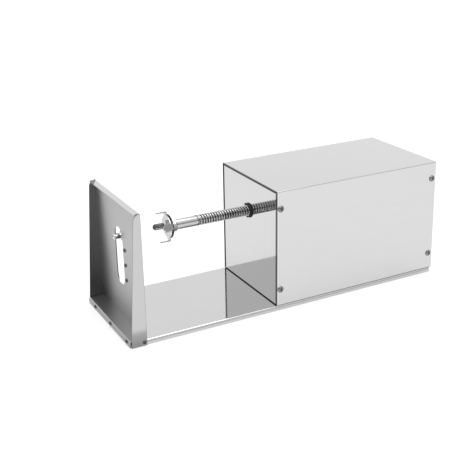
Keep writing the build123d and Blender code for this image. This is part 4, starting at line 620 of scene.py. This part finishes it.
def dress_screws(node, look="screw", flat=False, wide=1.0):
    """Detailed screws in the places of a node's plain ones."""
    bm = bmesh.new()
    for places in loose_parts(node):
        spread, axis, centre = screw_axis(places)
        shank, head, height = min(SCREW_SIZES, key=lambda size: abs(size[1] - spread))
        if flat:
            height = 0.0
        along = places @ np.array(axis)
        top, bottom = along.max(), along.min()
        seat = centre + axis * (top - height)
        roll = RNG.uniform(0, tau)
        cross_head(bm, seat, axis, wide * head, height, shank, top - height - bottom, roll, flat)
    piece(node.replace("screws", "cross_screws"), to_mesh(bm, node + " heads"), look, node)


for node in ("cutter_plate_screws", "carrier_screws"):
    dress_screws(node, "black screw")
for node in ("cover_screws_front", "cover_screws_back", "end_wall_screws"):
    dress_screws(node, wide=1.2)
dress_screws("blade_screws", flat=True)


# ---- Feed screw -----------------------------------------------------------------------------
def threaded_rod():
    """Shank, rolled thread, spigot and tail of the feed screw."""
    bm = bmesh.new()
    low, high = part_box("feed_screw")
    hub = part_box("holder_hub")[1].x
    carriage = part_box("carriage_plate")[0].x
    steps = 48
    start, end = THREAD
    turns = (end - start) / PITCH
    profile = [(0.0, 0.0), (0.10, 0.0), (0.36, 1.0), (0.52, 1.15), (0.68, 1.0), (0.90, 0.0)]
    count = ceil(turns * steps)
    rows = []
    for k in range(count + 1):
        a = tau * k / steps
        fade = min(1.0, k / (0.7 * steps), (count - k) / (0.7 * steps))
        row = []
        for share, deep in profile:
            x = start + PITCH * (k / steps + share - 0.5)
            r = SCREW_R - SLIP - CORE_DEPTH * deep * fade
            row.append(bm.verts.new((x, r * cos(a), AXIS_Z + r * sin(a))))
        rows.append(row)
    for k in range(count):
        for j in range(len(profile) - 1):
            bm.faces.new((rows[k][j], rows[k + 1][j], rows[k + 1][j + 1], rows[k][j + 1]))
    for k in range(count - steps):
        bm.faces.new((rows[k][-1], rows[k + 1][-1], rows[k + 1 + steps][0], rows[k + steps][0]))
    bore, bottom, point = SOCKET
    root = SCREW_R - CORE_DEPTH
    nose = [(low.x, bore), (low.x, SPIGOT_R - 0.0008), (low.x + 0.0008, SPIGOT_R), (hub, SPIGOT_R)]
    nose += [(hub, 0.0071), (hub + 0.0003, SHANK_R), (start - 0.0021, SHANK_R)]
    nose += [(start - 0.0004, SHANK_R - 0.0002), (start + 0.0018, root), (start + 0.0024, 0.0)]
    lathe(bm, nose, (0, 0, AXIS_Z), X)
    lathe(bm, [(low.x, bore), (low.x + bottom, bore), (low.x + point, 0.0)], (0, 0, AXIS_Z), X, 32)
    tail = [(end - 0.0024, 0.0), (end - 0.0018, root), (end + 0.0004, SCREW_R - 0.0004)]
    tail += [(end + 0.0021, SCREW_R), (carriage, SCREW_R), (carriage, JOURNAL_R)]
    tail += [(high.x, JOURNAL_R), (high.x, 0.0)]
    lathe(bm, tail, (0, 0, AXIS_Z), X)
    waist = SCREW_R - CORE_DEPTH * 1.1
    core = [(start + 0.001, 0.0), (start + 0.001, waist), (end - 0.001, waist), (end - 0.001, 0.0)]
    lathe(bm, core, (0, 0, AXIS_Z), X, 32)
    piece("threaded_feed_rod", to_mesh(bm, "threaded feed rod", 30), "thread", "feed_screw")


threaded_rod()


# ---- Wiper ring and holder disc -------------------------------------------------------------
def wiper():
    """Black bush in the wall: rounded rim, wiping lip and three moulded lugs."""
    bm = bmesh.new()
    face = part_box("front_wall")[0].x
    low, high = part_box("wiper_ring")
    bore = SCREW_R + SLIP
    rim = [(low.x, bore), (low.x, RING_NECK_R), (low.x + 0.0005, 0.0098), (low.x + 0.0013, 0.0102)]
    rim += [(face - 0.0008, 0.0110), (face - 0.0002, 0.0110), (face, 0.0106), (face, RING_NECK_R)]
    rim += [(high.x - 0.0015, RING_NECK_R), (high.x - 0.0015, 0.0097), (high.x - 0.0003, 0.0097)]
    rim += [(high.x, 0.0094), (high.x, bore)]
    lathe(bm, rim + [rim[0]], (0, 0, AXIS_Z), X)
    for degrees in (42, 162, 282):
        a = radians(degrees)
        place = Vector((low.x, LUG_PLACE * cos(a), AXIS_Z + LUG_PLACE * sin(a)))
        nub = [(0.0001, 0.0), (0.0001, 0.0008), (0.0004, 0.0012), (0.0010, 0.0014), (face - low.x, 0.0016)]
        lathe(bm, nub, place, X, 20)
    piece("moulded_wiper_ring", to_mesh(bm, "moulded wiper ring"), "black", "wiper_ring")


def backing_disc():
    """Blackened disc behind the prongs, with a rounded rim."""
    bm = bmesh.new()
    low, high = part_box("holder_disc")
    disc = [(low.x, DISC_BORE), (low.x, DISC_R - 0.0008), (low.x + 0.0002, DISC_R - 0.0003)]
    disc += [(low.x + 0.0008, DISC_R), (high.x - 0.0006, DISC_R), (high.x - 0.0001, DISC_R - 0.0003)]
    disc += [(high.x, DISC_R - 0.0012), (high.x, DISC_BORE)]
    lathe(bm, disc + [disc[0]], (0, 0, AXIS_Z), X, 96)
    piece("dished_holder_disc", to_mesh(bm, "dished holder disc"), "dark", "holder_disc")


wiper()
backing_disc()


# ---- Softened edges on the CAD nodes --------------------------------------------------------
def soften(node, width):
    """Rounded edges of a CAD node, by modifiers alone."""
    held = NODES[node]
    weld = held.modifiers.new("weld", "WELD")
    weld.merge_threshold = 0.00002
    edge = held.modifiers.new("worn edges", "BEVEL")
    edge.width = width
    edge.segments = 2
    edge.limit_method = "ANGLE"
    edge.angle_limit = radians(32)
    edge.harden_normals = True
    edge.use_clamp_overlap = True


for node, width in (("slicing_blade", 0.0001), ("blade_carrier", 0.0003), ("prong_plate", 0.0002),
                    ("jam_nut", 0.0003), ("rocker_bezel", 0.0003), ("rocker_button", 0.0004),
                    ("power_jack", 0.0001), ("skewer_guide", 0.00015)):
    soften(node, width)


# ---- Floor, light and camera ----------------------------------------------------------------
def make_floor():
    bm = bmesh.new()
    bmesh.ops.create_grid(bm, x_segments=1, y_segments=1, size=6.0)
    mesh = bpy.data.meshes.new("floor")
    bm.to_mesh(mesh)
    bm.free()
    floor = bpy.data.objects.new("floor", mesh)
    bpy.context.scene.collection.objects.link(floor)
    made = bpy.data.materials.new("pale floor")
    made.use_nodes = True
    tree = made.node_tree
    tree.nodes.clear()
    glow = add(tree, "ShaderNodeEmission", {"Color": WHITE, "Strength": 1.0})
    matt = add(tree, "ShaderNodeBsdfDiffuse", {"Color": (0.95, 0.95, 0.95, 1)})
    mixed = add(tree, "ShaderNodeMixShader", {0: 0.5, 1: glow.outputs[0], 2: matt.outputs[0]})
    out = add(tree, "ShaderNodeOutputMaterial")
    tree.links.new(mixed.outputs[0], out.inputs["Surface"])
    mesh.materials.append(made)


def make_world():
    """White studio, dimmer behind the camera and overhead, so that curved metal shows its form."""
    world = bpy.data.worlds.new("studio")
    bpy.context.scene.world = world
    world.use_nodes = True
    tree = world.node_tree
    tree.nodes.clear()
    path = add(tree, "ShaderNodeLightPath").outputs
    way = add(tree, "ShaderNodeTexCoord").outputs["Generated"]
    part = add(tree, "ShaderNodeSeparateXYZ", {"Vector": way}).outputs
    front = remap(tree, part["Y"], -0.05, -0.5)
    low = remap(tree, part["Z"], 0.0, 0.10)
    under = remap(tree, part["Z"], 0.62, 0.42)
    dim = maths(tree, "MULTIPLY", maths(tree, "MULTIPLY", front, low), under)
    overhead = remap(tree, part["Z"], 0.80, 0.96, 0.0, 0.4)
    gloss = remap(tree, maths(tree, "MAXIMUM", dim, overhead), 0.0, 1.0, 1.1, 0.5)
    strength = add(tree, "ShaderNodeMix", data_type="FLOAT")
    seen = maths(tree, "MAXIMUM", path["Is Glossy Ray"], path["Is Transmission Ray"])
    tree.links.new(seen, strength.inputs["Factor"])
    strength.inputs["A"].default_value = 1.02
    tree.links.new(gloss, strength.inputs["B"])
    back = add(tree, "ShaderNodeBackground", {"Color": WHITE, "Strength": strength.outputs["Result"]})
    out = add(tree, "ShaderNodeOutputWorld")
    tree.links.new(back.outputs[0], out.inputs["Surface"])


def soft_light(name, place, target, size, power):
    """Rectangular lamp that faces its target and isn't seen itself."""
    data = bpy.data.lights.new(name, "AREA")
    data.shape = "RECTANGLE"
    data.size, data.size_y = size
    data.energy = power
    made = bpy.data.objects.new(name, data)
    bpy.context.scene.collection.objects.link(made)
    made.location = place
    aim = (Vector(target) - Vector(place)).normalized()
    made.rotation_euler = aim.to_track_quat("-Z", "Y").to_euler()
    made.visible_camera = False


def make_camera():
    """Camera fitted to the corners of the box and the bed."""
    data = bpy.data.cameras.new("camera")
    held = bpy.data.objects.new("camera", data)
    bpy.context.scene.collection.objects.link(held)
    data.lens = 67.606
    data.clip_start = 0.05
    az, el, roll = radians(28.02), radians(21.775), radians(-0.861)
    forward = Vector((cos(el) * sin(az), cos(el) * cos(az), -sin(el)))
    right = Vector((cos(az), -sin(az), 0))
    up = right.cross(forward)
    across = cos(roll) * right + sin(roll) * up
    upward = -sin(roll) * right + cos(roll) * up
    place = Matrix((across, upward, -forward)).transposed().to_4x4()
    place.translation = Vector((WALL_X - 0.5842, -1.0602, 0.5703))
    held.matrix_world = place
    bpy.context.scene.camera = held


make_floor()
make_world()
soft_light("soft box over the front", (-0.2, -1.3, 2.6), (0, 0, 0.08), (1.6, 0.5), 34)
soft_light("soft box over the top", (0.5, 0.2, 3.0), (0, 0, 0.1), (1.8, 1.8), 24)
make_camera()
bpy.context.scene.view_settings.view_transform = "Standard"
